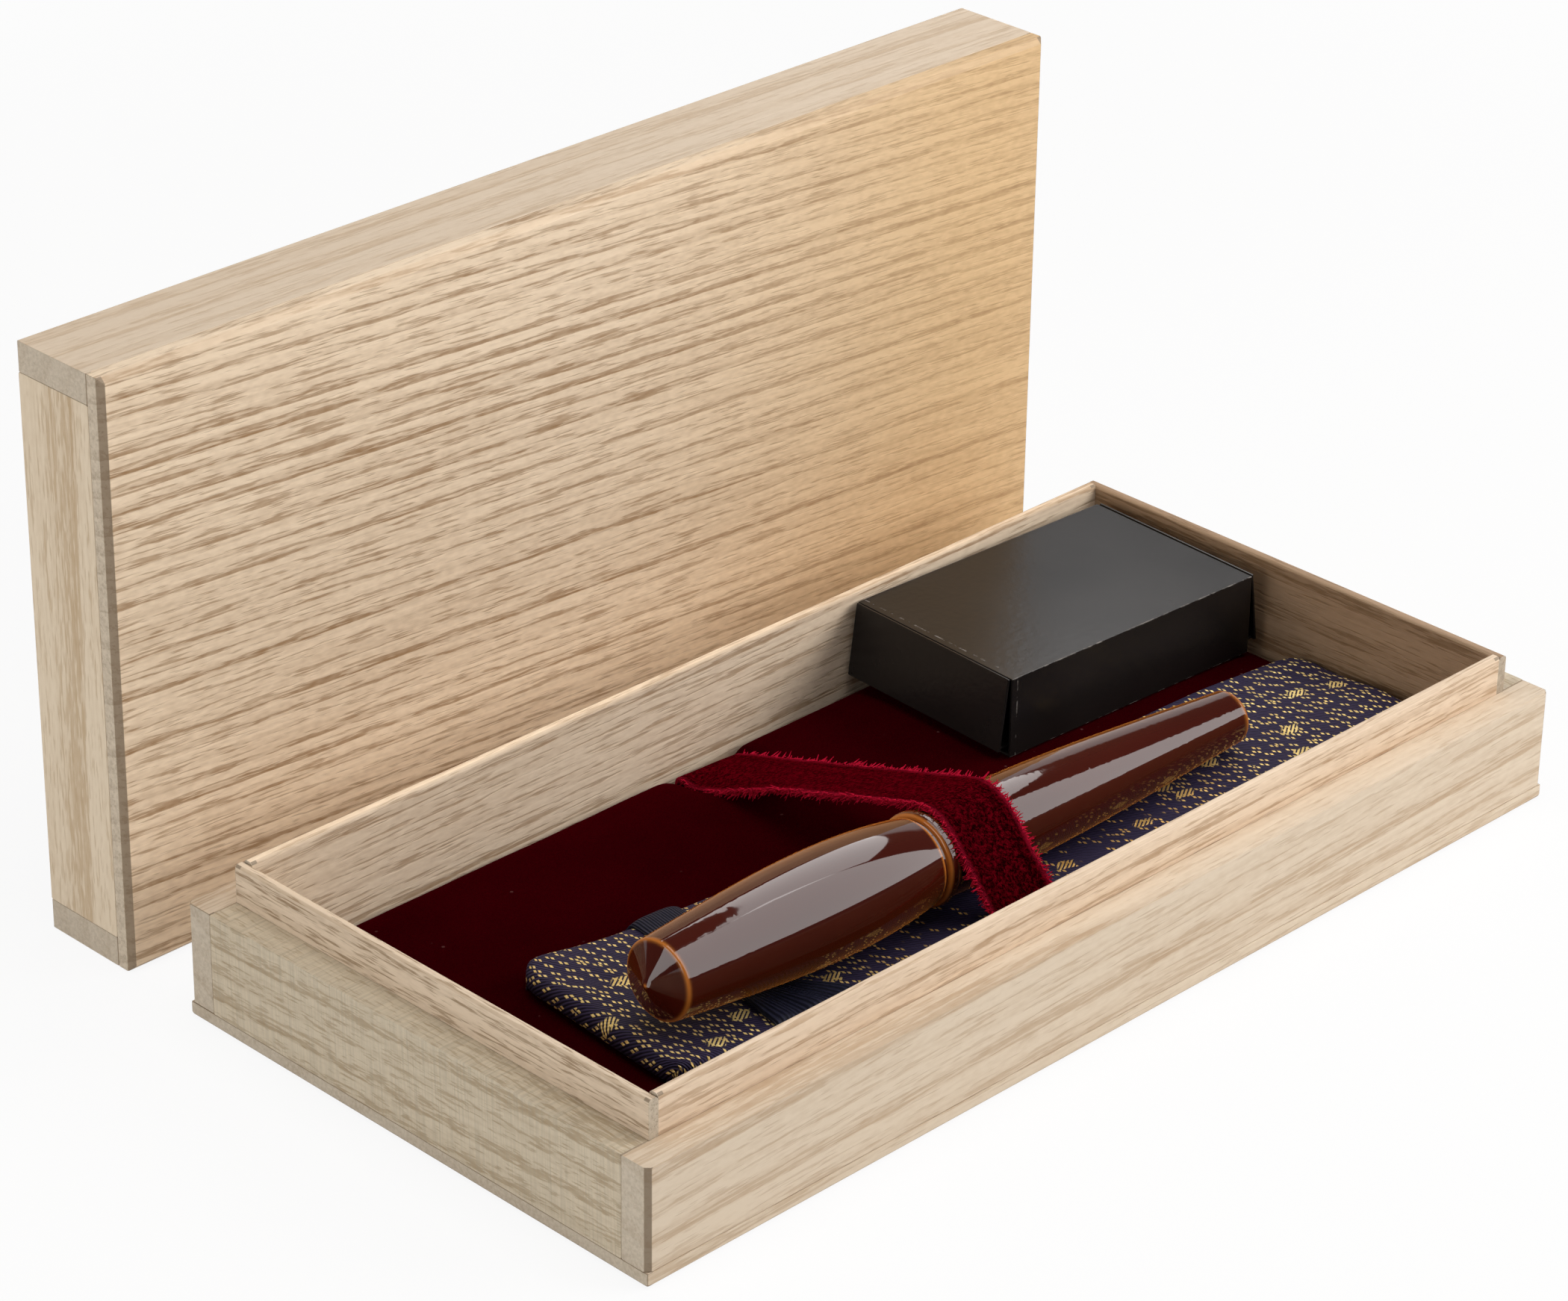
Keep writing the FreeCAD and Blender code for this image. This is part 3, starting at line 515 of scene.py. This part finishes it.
rows_a = 150
rows_b = 46
shape = bmesh.new()
bmesh.ops.create_grid(shape, x_segments=rows_a, y_segments=rows_b, size=1.0)
laid = {}
for vert in shape.verts:
    row_a = round((vert.co.x + 1) / 2 * rows_a)
    row_b = round((vert.co.y + 1) / 2 * rows_b)
    a, share_a, length_a = rim_place(row_a, rows_a, pouch_half[0], pouch_rim[0])
    b, share_b, length_b = rim_place(row_b, rows_b, pouch_half[1], pouch_rim[1])
    over_a = (abs(a) - pouch_half[0] + pouch_corner) / pouch_corner
    over_b = (abs(b) - pouch_half[1] + pouch_corner) / pouch_corner
    if over_a > 0 and over_b > 0:
        drawn_a = over_a * math.sqrt(1 - over_b**2 / 2)
        drawn_b = over_b * math.sqrt(1 - over_a**2 / 2)
        a = math.copysign(pouch_half[0] + pouch_corner * (drawn_a - 1), a)
        b = math.copysign(pouch_half[1] + pouch_corner * (drawn_b - 1), b)
    b *= 1 - pouch_waist / pouch_half[1] * (1 - (a / pouch_half[0]) ** 2)
    at = pouch_point(a, b)
    vert.co = (at.x, at.y, pouch_floor + pouch_thickness(a, b) * share_a * share_b)
    laid[vert.index] = (length_a, length_b)
lay_weave(shape, laid)
bmesh.ops.holes_fill(shape, edges=[e for e in shape.edges if e.is_boundary], sides=0)
bmesh.ops.recalc_face_normals(shape, faces=shape.faces)
bmesh.ops.triangulate(shape, faces=[f for f in shape.faces if len(f.verts) > 4])

brocade = Finish("gold_fleck_brocade", {"Specular IOR Level": 0.12, "Sheen Weight": 0.03,
                                        "Sheen Tint": rgb(0.25, 0.28, 0.5)})
cloth = brocade.weave()
parts = brocade.part(cloth, "X")
run = parts + parts.other("Y") * 0.7
rib_pace = 0.75 * mm
rib = run.work("SINE", run * (2 * math.pi / rib_pace)) * 0.5 + 0.5
cells = brocade.node("ShaderNodeTexVoronoi", {"voronoi_dimensions": "2D"},
                     {"Vector": cloth, "Scale": 430.0, "Randomness": 0.75}, "Position")
off = brocade.node("ShaderNodeVectorMath", {"operation": "SUBTRACT"}, {0: cloth, 1: cells})
off = brocade.stretch(off, (1000, 1000, 1000), (0, 0, math.radians(14)))
gap = brocade.part(off, "X")
pair = 1 - brocade.ease(abs(abs(gap) - 0.40), 0.18, 0.28)
pair = pair * (1 - brocade.ease(abs(gap.other("Y") + gap * 0.7), 0.32, 0.45))
chance = brocade.part(cells.other("Color"), "X")
crowd = brocade.cloud(cloth, 75.0, 2.0)
# Near the pouch's ends the flecks crowd closer, and the same mask below makes their gold paler and
# brighter: a painted glint.
end_crowd_and_painted_glint = brocade.ease(abs(parts), 20 * mm, 75 * mm)
fleck = pair * brocade.ease(crowd * 1.2 + chance * 0.5 + end_crowd_and_painted_glint * 0.55, 0.86, 0.94)
askew = brocade.stretch(cloth, (0.85, 1.15, 1), (0, 0, math.radians(24)))
spots = brocade.node("ShaderNodeTexVoronoi", {"voronoi_dimensions": "2D", "distance": "CHEBYCHEV"},
                     {"Vector": askew, "Scale": 66.0, "Randomness": 0.9}, "Distance")
ragged = spots + (brocade.cloud(cloth, 700.0, 2.0) - 0.5) * 0.1
spot = 1 - brocade.ease(ragged, 0.085, 0.115)
thread_pace = 0.9 * mm
slant = parts * 0.8 - parts.other("Y")
thread = slant.work("SINE", slant * (2 * math.pi / thread_pace))
spot = spot * brocade.ease(thread, -0.5, 0.1)
gold = fleck.work("MAXIMUM", fleck, spot)
navy = brocade.tint(rib, rgb(0.006, 0.004, 0.011), rgb(0.040, 0.029, 0.076))
worn = brocade.cloud(cloth, 160.0, 2.0)
# The gold runs from orange-brown in the middle to pale bright gold at the ends: painted glint where the
# threads catch the light, over a random worn tone.
gilt_with_painted_glint = brocade.tint(worn * 0.6 + end_crowd_and_painted_glint * 0.5, rgb(0.92, 0.47, 0.11), rgb(1.0, 0.80, 0.32))
brocade.feed("Base Color", brocade.tint(gold, navy, gilt_with_painted_glint))
brocade.feed("Metallic", gold * 0.25)
brocade.feed("Roughness", 0.62 - gold * 0.28)
tilt = gap * (chance - 0.5) * 1.6 + gap.other("Y") * (chance.other("Y") - 0.5) * 1.6
brocade.relief(rib * 0.5 + gold * (tilt + 0.8), 0.7, 0.4 * mm)
pouch = new_piece("pouch_cloth", shape, "pouch", brocade.material)
still = pouch_floor + 0.4 * mm
swell(pouch, pressure=2.0, most=0.25 * mm,
      held=lambda co: 1.0 if pen_underside(co.x, co.y) or co.z < still else 0.0)
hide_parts("pouch_body")


# Tie band: a strip of navy corded silk round the pouch near its left end. It stands up behind the
# pouch as a loop, lies flat under the pen, and fans out in pleats at the front.

cord = Finish("corded_silk", {"Specular IOR Level": 0.15, "Sheen Weight": 0.06,
                              "Sheen Tint": rgb(0.3, 0.3, 0.55)})
cloth = cord.weave()
parts = cord.part(cloth, "X")
wobble = cord.streaks(cloth, (900, 120, 1))
cord_pace = 0.6 * mm
rib = parts.work("SINE", parts * (2 * math.pi / cord_pace) + wobble * 2.5) * 0.5 + 0.5
navy = cord.tint(rib * 0.8 + wobble * 0.2, rgb(0.002, 0.0025, 0.007), rgb(0.016, 0.017, 0.036))
cord.feed("Base Color", navy)
cord.feed("Roughness", 0.62 - rib * 0.15)
cord.relief(rib, 0.9, 0.4 * mm)

band_middle = -64.0 * mm
band_half = 5.25 * mm
band_thick = 0.55 * mm
band_ends = (-23.0 * mm, 25.0 * mm)
band_cut = 52 * mm
band_rows = 90
pleat_run = (9 * mm, 21 * mm)
pleat_spread = 3.6 * mm
pleat_shift = 2.0 * mm
loop_run = (8 * mm, 20 * mm)
loop_rise = 0.8 * mm
loop_pinch = 0.05
roll_from = 19.0 * mm
roll_in = 1.8 * mm
drop_from = 19.5 * mm
band_lift = 0.35 * mm
band_foot = 0.2 * mm
band_under_pen = 0.7 * mm
shape = bmesh.new()
bmesh.ops.create_grid(shape, x_segments=24, y_segments=band_rows, size=1.0)
laid = {}
for vert in shape.verts:
    across = vert.co.x
    run = (vert.co.y + 1) / 2
    b = band_ends[0] + run * (band_ends[1] - band_ends[0])
    fan = ramp(-b, *pleat_run)
    loop = ramp(b, *loop_run)
    half = band_half * (1 - loop_pinch * loop) + fan * pleat_spread
    a = band_middle + across * half + fan * pleat_shift
    side = pouch_half[1] - pouch_waist * (1 - (a / pouch_half[0]) ** 2)
    under = pouch_thickness(a, max(min(b, side), -side))
    lift = band_lift + fan * band_lift * (1 + math.sin(across * 8 + 1))
    lift += loop * loop_rise * (1 - across**4)
    z = pouch_floor + under + lift
    roll = ramp(b, roll_from, band_ends[1])
    drop = ramp(-b, drop_from, -band_ends[0])
    z -= (z - pouch_floor - band_foot) * max(roll**1.5, drop)
    b -= roll * roll_in
    at = pouch_point(a, b)
    above = pen_underside(at.x, at.y)
    if above is not None:
        z = min(z, above - band_under_pen)
    vert.co = (at.x, at.y, z)
    laid[vert.index] = (across * band_half, run * band_cut)
lay_weave(shape, laid)
bmesh.ops.smooth_vert(shape, verts=shape.verts, factor=0.4,
                      use_axis_x=True, use_axis_y=True, use_axis_z=True)
band = new_piece("pouch_band", shape, "pouch", cord.material)
thick = band.modifiers.new("thick", "SOLIDIFY")
thick.thickness = band_thick
thick.offset = 0.0
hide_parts("pouch_tie_band")


# Pen: a turned cap and barrel under many coats of clear red-brown lacquer, polished to a mirror. The
# coats thin out over every turned edge, so the rims show amber.

lacquer = Finish("red_brown_lacquer", {"Roughness": 0.04, "IOR": 1.5, "Specular IOR Level": 0.45,
                                       "Sheen Weight": 0.5, "Sheen Roughness": 0.3,
                                       "Sheen Tint": rgb(1.0, 0.34, 0.05)})
place = lacquer.place()
s = lacquer.along(place, pen_axis, pen_rim)
turned_edges = [(0, 0.5, 1.4), (60.7, 0.9, 0.9), (61.9, 0.8, 0.8), (63.9, 0.8, 0.8), (64.4, 0.9, 0.9),
                (145.3, 2.0, 0.8), (-3.0, 0.4, 0.4)]
thin = 0.0
for edge, before, after in turned_edges:
    past = s - edge * mm
    gap = past.work("MAXIMUM", past / (after * mm), past / (-before * mm))
    thin = thin + (1 - lacquer.ease(gap, 0.0, 1.0)) ** 3.0
depth = lacquer.streaks(place, (30, 160, 160), 3.0)
red = lacquer.tint(depth, rgb(0.035, 0.0035, 0.0018), rgb(0.062, 0.0075, 0.0035))
lacquer.feed("Base Color", lacquer.tint(thin, red, rgb(0.46, 0.15, 0.025)))
polish = lacquer.streaks(place, (12, 500, 500))
lacquer.relief(polish, 0.02, 0.3 * mm)
dress("pen_cap", lacquer.material)
dress("pen_barrel", lacquer.material)
dress("grip_section", lacquer.material)

moulded = Finish("moulded_black", {"Specular IOR Level": 0.4})
grain = moulded.cloud(moulded.place(), 1400.0, 3.0)
moulded.feed("Base Color", moulded.tint(grain, rgb(0.012, 0.012, 0.013), rgb(0.03, 0.03, 0.032)))
moulded.feed("Roughness", 0.42 + grain * 0.25)
moulded.relief(grain, 0.1, 0.2 * mm)
dress("cap_liner", moulded.material)
dress("nib_feed", moulded.material)

gilding = Finish("nib_gilding", {"Metallic": 1.0})
brushed = gilding.streaks(gilding.place(), (90, 2400, 2400), 3.0)
gilding.feed("Base Color", gilding.tint(brushed, rgb(0.72, 0.50, 0.19), rgb(0.90, 0.68, 0.32)))
gilding.feed("Roughness", 0.14 + brushed * 0.14)
gilding.relief(brushed, 0.06, 0.1 * mm)
dress("nib", gilding.material)


# Ink cartridges: blown clear plastic tubes filled with dark ink, a step down to the neck and a steel
# ball that seals it. One is pushed into the pen and ten lie in two layers in the carton.

filled = Finish("ink_filled_plastic", {"Specular IOR Level": 0.5, "Coat Weight": 0.4,
                                       "Coat Roughness": 0.05})
flow = filled.cloud(filled.place(), 220.0, 3.0)
filled.feed("Base Color", filled.tint(flow, rgb(0.01, 0.012, 0.04), rgb(0.045, 0.055, 0.13)))
filled.feed("Roughness", 0.16 + flow * 0.1)
dress("pen_cartridge", filled.material)
dress("ink_cartridges", filled.material)

steel = Finish("ball_steel", {"Metallic": 1.0})
scuff = steel.cloud(steel.place(), 1800.0, 2.0)
steel.feed("Base Color", steel.tint(scuff, rgb(0.60, 0.60, 0.62), rgb(0.78, 0.78, 0.80)))
steel.feed("Roughness", 0.12 + scuff * 0.12)
dress("cartridge_balls", steel.material)


# Ink carton: a sleeve of black coated card with a tuck flap at each end, its front and top bare. The
# coating is semi-gloss with a slight orange peel and has rubbed off pale along the folds.

carton_corner = Vector((38.8, 6.85, 12.2)) * mm
carton_x = Vector((0.99889, -0.047106, 0))
carton_y = Vector((0.047106, 0.99889, 0))
carton_size = (63.4 * mm, 41.0 * mm, 16.1 * mm)
coated = Finish("coated_black_card", {"Specular IOR Level": 0.25})
place = coated.place()
gaps = []
for axis, size in zip((carton_x, carton_y, Vector((0, 0, 1))), carton_size):
    far = coated.along(place, axis, carton_corner)
    gaps.append(abs(far.work("MINIMUM", far, size - far)))
widest = gaps[0].work("MAXIMUM", gaps[0], gaps[0].work("MAXIMUM", gaps[1], gaps[2]))
fold = gaps[0] + gaps[1] + gaps[2] - widest
rub = coated.cloud(place, 420.0, 3.0, 0.7)
worn = (1 - coated.ease(fold, 0.04 * mm, 0.24 * mm)) * coated.ease(rub, 0.46, 0.68)
peel = coated.cloud(place, 700.0, 2.0)
haze = coated.cloud(place, 60.0, 3.0)
black = coated.tint(haze, rgb(0.006, 0.005, 0.005), rgb(0.016, 0.013, 0.012))
coated.feed("Base Color", coated.tint(worn * 0.5, black, rgb(0.45, 0.41, 0.37)))
coated.feed("Roughness", 0.2 + haze * 0.1 + worn * 0.4)
coated.relief(peel, 0.08, 0.4 * mm)
for panel in ("carton_sleeve", "carton_left_flap", "carton_right_flap"):
    dress(panel, coated.material, 0.18 * mm)


# Strap: a red velvet ribbon with cut edges, tacked down behind the bed, drawn straight up over the
# pen's barrel and tucked in at the front. The pile stands out along both edges as a bright fringe.

plush = Finish("red_velvet", {"Roughness": 1.0, "Specular IOR Level": 0.0, "Sheen Weight": 0.35,
                              "Sheen Roughness": 0.3, "Sheen Tint": rgb(0.42, 0.001, 0.016)})
cloth = plush.weave()
streak = plush.streaks(cloth, (520, 40, 1), 3.0)
nap = plush.cloud(plush.place(), 1500.0, 2.5, 0.7)
off_middle = abs(plush.part(cloth, "X"))
# Towards both edges the ribbon's colour is brightened to a light red: painted sheen where the pile
# curves over and catches the light.
painted_edge_sheen = plush.ease(off_middle, 5.8 * mm, 7.2 * mm)
# The speckled pile tone is stretched to strong contrast, so its bright specks are painted glints on the
# pile.
pile_tone_and_painted_glints = plush.ease(nap * 0.95 + streak * 0.25, 0.48, 0.78)
shade = plush.tint(pile_tone_and_painted_glints, rgb(0.008, 0.0001, 0.0005), rgb(0.11, 0.0006, 0.005))
plush.feed("Base Color", plush.tint(painted_edge_sheen * 0.8, shade, rgb(0.30, 0.008, 0.026)))
plush.relief(nap, 1.0, 1.2 * mm)

strap_half = 7.1 * mm
strap_thick = 0.9 * mm
strap_wrap = 9.2 * mm
strap_leg = 46.6 * mm
strap_back_z = 9.4 * mm
strap_front_z = 11.2 * mm
strap_foot_z = 6.0 * mm
sag_deep = 2.4 * mm
sag_starts = (4 * mm, 9 * mm)
sag_fades = (10 * mm, 40 * mm)


def tangent(start_y, start_z, side):
    """Angle on the barrel where a straight run from a point meets the wrapped ribbon."""
    over = Vector((start_y - strap_cross.y, start_z - strap_cross.z))
    return math.atan2(over.y, over.x) + side * math.acos(strap_wrap / over.length)


angle_back = tangent(strap_leg, strap_back_z, 1)
angle_front = tangent(-strap_leg, strap_front_z, -1) % (2 * math.pi)
path = [Vector((strap_leg, strap_foot_z)), Vector((strap_leg, strap_back_z))]
wrap_steps = 12
for step in range(wrap_steps + 1):
    angle = angle_back + (angle_front - angle_back) * step / wrap_steps
    ring = Vector((math.cos(angle), math.sin(angle))) * strap_wrap
    path.append(Vector((strap_cross.y, strap_cross.z)) + ring)
path += [Vector((-strap_leg, strap_front_z)), Vector((-strap_leg, strap_foot_z))]
lengths = [0.0]
for start, end in zip(path, path[1:]):
    lengths.append(lengths[-1] + (end - start).length)
strap_length = lengths[-1]


def strap_point(run, across, sink=0.0):
    """Point of the strap a length along it and a distance across it."""
    for i in range(len(path) - 1):
        if run <= lengths[i + 1] or i == len(path) - 2:
            share = (run - lengths[i]) / (lengths[i + 1] - lengths[i])
            flat = path[i].lerp(path[i + 1], share)
            break
    low_side = max(0.0, -across / strap_half) ** 1.5
    sag = sag_deep * low_side * ramp(run, *sag_starts) * (1 - ramp(run, *sag_fades))
    turned = Matrix.Rotation(strap_turn, 3, "Z") @ Vector((across, flat.x - strap_cross.y, 0))
    return Vector((strap_cross.x + turned.x, strap_cross.y + turned.y, flat.y - sag - sink))


strap_rows = 130
shape = bmesh.new()
bmesh.ops.create_grid(shape, x_segments=16, y_segments=strap_rows, size=1.0)
laid = {}
for vert in shape.verts:
    across = vert.co.x * strap_half
    run = (1 - vert.co.y) / 2 * strap_length
    edge = noise.noise(Vector((run * 260, vert.co.x * 3, 4.0))) * 0.35 * mm * abs(vert.co.x) ** 4
    dish = noise.noise(Vector((run * 60, across * 130, 8.0))) * 0.25 * mm
    laid[vert.index] = (across, run)
    vert.co = strap_point(run, across + edge, dish)
lay_weave(shape, laid)
for smoothing in range(3):
    bmesh.ops.smooth_vert(shape, verts=shape.verts, factor=0.5,
                          use_axis_x=False, use_axis_y=True, use_axis_z=True)
bmesh.ops.recalc_face_normals(shape, faces=shape.faces)
bmesh.ops.solidify(shape, geom=shape.faces[:] + shape.edges[:] + shape.verts[:], thickness=strap_thick)
bmesh.ops.translate(shape, vec=(0, 0, strap_thick / 2), verts=shape.verts)
strap = new_piece("strap_ribbon", shape, None, plush.material)
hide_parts("velvet_ribbon")

tuft = Finish("velvet_fringe", {"Roughness": 1.0, "Specular IOR Level": 0.0, "Sheen Weight": 0.6,
                                "Sheen Roughness": 0.3, "Sheen Tint": rgb(0.6, 0.01, 0.04)})
lively = tuft.cloud(tuft.place(), 1500.0, 2.0)
tuft.feed("Base Color", tuft.tint(lively, rgb(0.12, 0.001, 0.006), rgb(0.68, 0.014, 0.05)))
chance = random.Random(7)


def tuft_at(run, across, sink, lean, reach, stout):
    """Stand one tuft of pile on the strap."""
    outward = Matrix.Rotation(strap_turn, 3, "Z") @ lean
    turn = outward.to_track_quat("Z", "Y").to_matrix().to_4x4()
    spot = Matrix.Translation(strap_point(run, across, sink) + outward.normalized() * reach / 2) @ turn
    bmesh.ops.create_cone(shape, cap_ends=False, segments=3, radius1=stout, radius2=stout * 0.3,
                          depth=reach, matrix=spot)


tufts = 620
tuft_reach = (0.8 * mm, 1.9 * mm)
tuft_stout = (0.14 * mm, 0.26 * mm)
shape = bmesh.new()
for side in (-1, 1):
    for count in range(tufts):
        run = strap_length * (0.05 + 0.9 * (count + chance.random()) / tufts)
        lean = Vector((side, chance.uniform(-0.7, 0.7), chance.uniform(-0.9, 0.8)))
        tuft_at(run, side * (strap_half - 0.3 * mm), chance.uniform(-0.6, 0.5) * mm, lean,
                chance.uniform(*tuft_reach), chance.uniform(*tuft_stout))
fringe = new_piece("strap_fringe", shape, None, tuft.material)
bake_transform(strap)
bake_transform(fringe)


# Studio: a plain pale floor that runs into a white background, three softboxes that light the case, and
# two white reflector panels that show only in polished surfaces, as the bright shapes along the pen.

class Backdrop(Finish):
    """What stands round the case, put together as a finish is."""

    def __init__(self, name):
        self.world = bpy.data.worlds.new(name)
        self.world.use_nodes = True
        self.tree = self.world.node_tree

    def limit(self, way, low, high, at_low, at_high):
        sockets = {"Value": way, "From Min": low, "From Max": high, "To Min": at_low, "To Max": at_high}
        return self.node("ShaderNodeMapRange", {}, sockets)


def studio_ray(finish):
    """1 for what the camera sees, straight or in a polished or clear surface."""
    ray = finish.node("ShaderNodeLightPath", {}, {}, "Is Camera Ray")
    shiny = ray.work("MAXIMUM", ray.other("Is Glossy Ray"), ray.other("Is Transmission Ray"))
    return ray.work("MAXIMUM", ray, shiny)


floor_half = 6.0
floor_drop = 0.2 * mm
shape = bmesh.new()
bmesh.ops.create_grid(shape, x_segments=1, y_segments=1, size=floor_half)
floor_mesh = bpy.data.meshes.new("floor")
shape.to_mesh(floor_mesh)
shape.free()
floor = bpy.data.objects.new("floor", floor_mesh)
floor.location.z = -floor_drop
bpy.context.scene.collection.objects.link(floor)
paper = Finish("floor_paper", {"Base Color": rgb(0.86, 0.86, 0.85), "Roughness": 1.0,
                               "Specular IOR Level": 0.0})
matt = Tone(paper, paper.shader.outputs[0])
glow = paper.node("ShaderNodeEmission", {}, {"Strength": 1.0})
reach = paper.node("ShaderNodeVectorMath", {"operation": "LENGTH"}, {0: paper.place()}, "Value")
near_white = 0.9
share = studio_ray(paper) * (near_white + paper.ease(reach, 0.3, 0.75) * (1 - near_white))
whole = paper.node("ShaderNodeMixShader", {}, {0: share, 1: matt, 2: glow})
paper.tree.links.new(whole.socket, paper.tree.nodes["Material Output"].inputs["Surface"])
floor_mesh.materials.append(paper.material)

studio = Backdrop("studio")
fill = studio.node("ShaderNodeBackground", {}, {"Color": rgb(0.96, 0.98, 1.0), "Strength": 0.12})
white = studio.node("ShaderNodeBackground", {}, {"Color": grey(1.0), "Strength": 1.0})
dark = studio.node("ShaderNodeBackground", {}, {"Color": grey(1.0), "Strength": 0.08})
ways = studio.node("ShaderNodeTexCoord", {}, {}, "Generated")
ways = studio.part(ways, "X")
pale = studio.limit(ways, 0.05, 0.3, 0.0, 1.0) * studio.limit(ways.other("Y"), -0.1, 0.15, 0.0, 1.0)
pale = pale * studio.limit(ways.other("Z"), 0.44, 0.485, 1.0, 0.0)
pale = pale.work("MAXIMUM", pale, studio.node("ShaderNodeLightPath", {}, {}, "Is Camera Ray"))
gleam = studio.node("ShaderNodeMixShader", {}, {0: pale, 1: dark, 2: white})
whole = studio.node("ShaderNodeMixShader", {}, {0: studio_ray(studio), 1: fill, 2: gleam})
studio.tree.links.new(whole.socket, studio.tree.nodes["World Output"].inputs["Surface"])
bpy.context.scene.world = studio.world


def softbox(name, at, aim, size, power, roll=0.0):
    """A diffused daylight panel that faces a point."""
    lamp = bpy.data.lights.new(name, "AREA")
    lamp.shape = "RECTANGLE"
    lamp.size, lamp.size_y = size
    lamp.energy = power
    lamp.color = (1.0, 0.98, 0.965)
    box = bpy.data.objects.new(name, lamp)
    bpy.context.scene.collection.objects.link(box)
    facing = (Vector(at) - Vector(aim)).to_track_quat("Z", "Y").to_matrix().to_4x4()
    box.matrix_world = Matrix.Translation(at) @ facing @ Matrix.Rotation(roll, 4, "Z")
    return box


front = softbox("front_softbox", at=(0.63, -0.62, 0.45), aim=(-0.02, -0.02, 0.03), size=(0.74, 0.58),
                power=7.6)
front.visible_glossy = False
softbox("top_softbox", at=(0.0, -0.1, 1.2), aim=(0.0, 0.0, 0.0), size=(0.9, 0.9), power=7.6)
softbox("left_softbox", at=(-1.15, 0.1, 0.35), aim=(0.0, 0.0, 0.04), size=(0.9, 0.5), power=5.2)
pen_middle = (-0.02, -0.022, 0.03)
broad = softbox("front_reflector", at=(0.292, -0.351, 0.385), aim=pen_middle, size=(0.54, 0.67),
                power=4.9, roll=-0.04)
narrow = softbox("upper_reflector", at=(0.307, 0.122, 0.392), aim=pen_middle, size=(0.386, 0.183),
                 power=0.96, roll=-0.567)
broad.visible_diffuse = False
narrow.visible_diffuse = False


# Camera: a long lens at the photograph's angle, found from the case's straight edges. It looks down from
# the cap's end, and is rolled by less than a degree.

turn = math.radians(-45.289)
rise = math.radians(27.772)
tilt = math.radians(0.815)
back = Vector((math.sin(turn) * math.cos(rise), -math.cos(turn) * math.cos(rise), math.sin(rise)))
right = Vector((math.cos(turn), math.sin(turn), 0))
up = back.cross(right)
side = right * math.cos(tilt) + up * math.sin(tilt)
head = up * math.cos(tilt) - right * math.sin(tilt)
middle = Vector((38.878, 66.686, 10.944)) * mm
distance = 964.336 * mm
eye = middle + back * distance
lens = bpy.data.cameras.new("camera")
lens.lens = 116.43
lens.sensor_width = 36.0
lens.sensor_fit = "HORIZONTAL"
lens.clip_start = 0.05
camera = bpy.data.objects.new("camera", lens)
bpy.context.scene.collection.objects.link(camera)
pose = Matrix((side, head, back)).transposed().to_4x4()
camera.matrix_world = Matrix.Translation(eye) @ pose
bpy.context.scene.camera = camera
bpy.context.scene.view_settings.view_transform = "Standard"
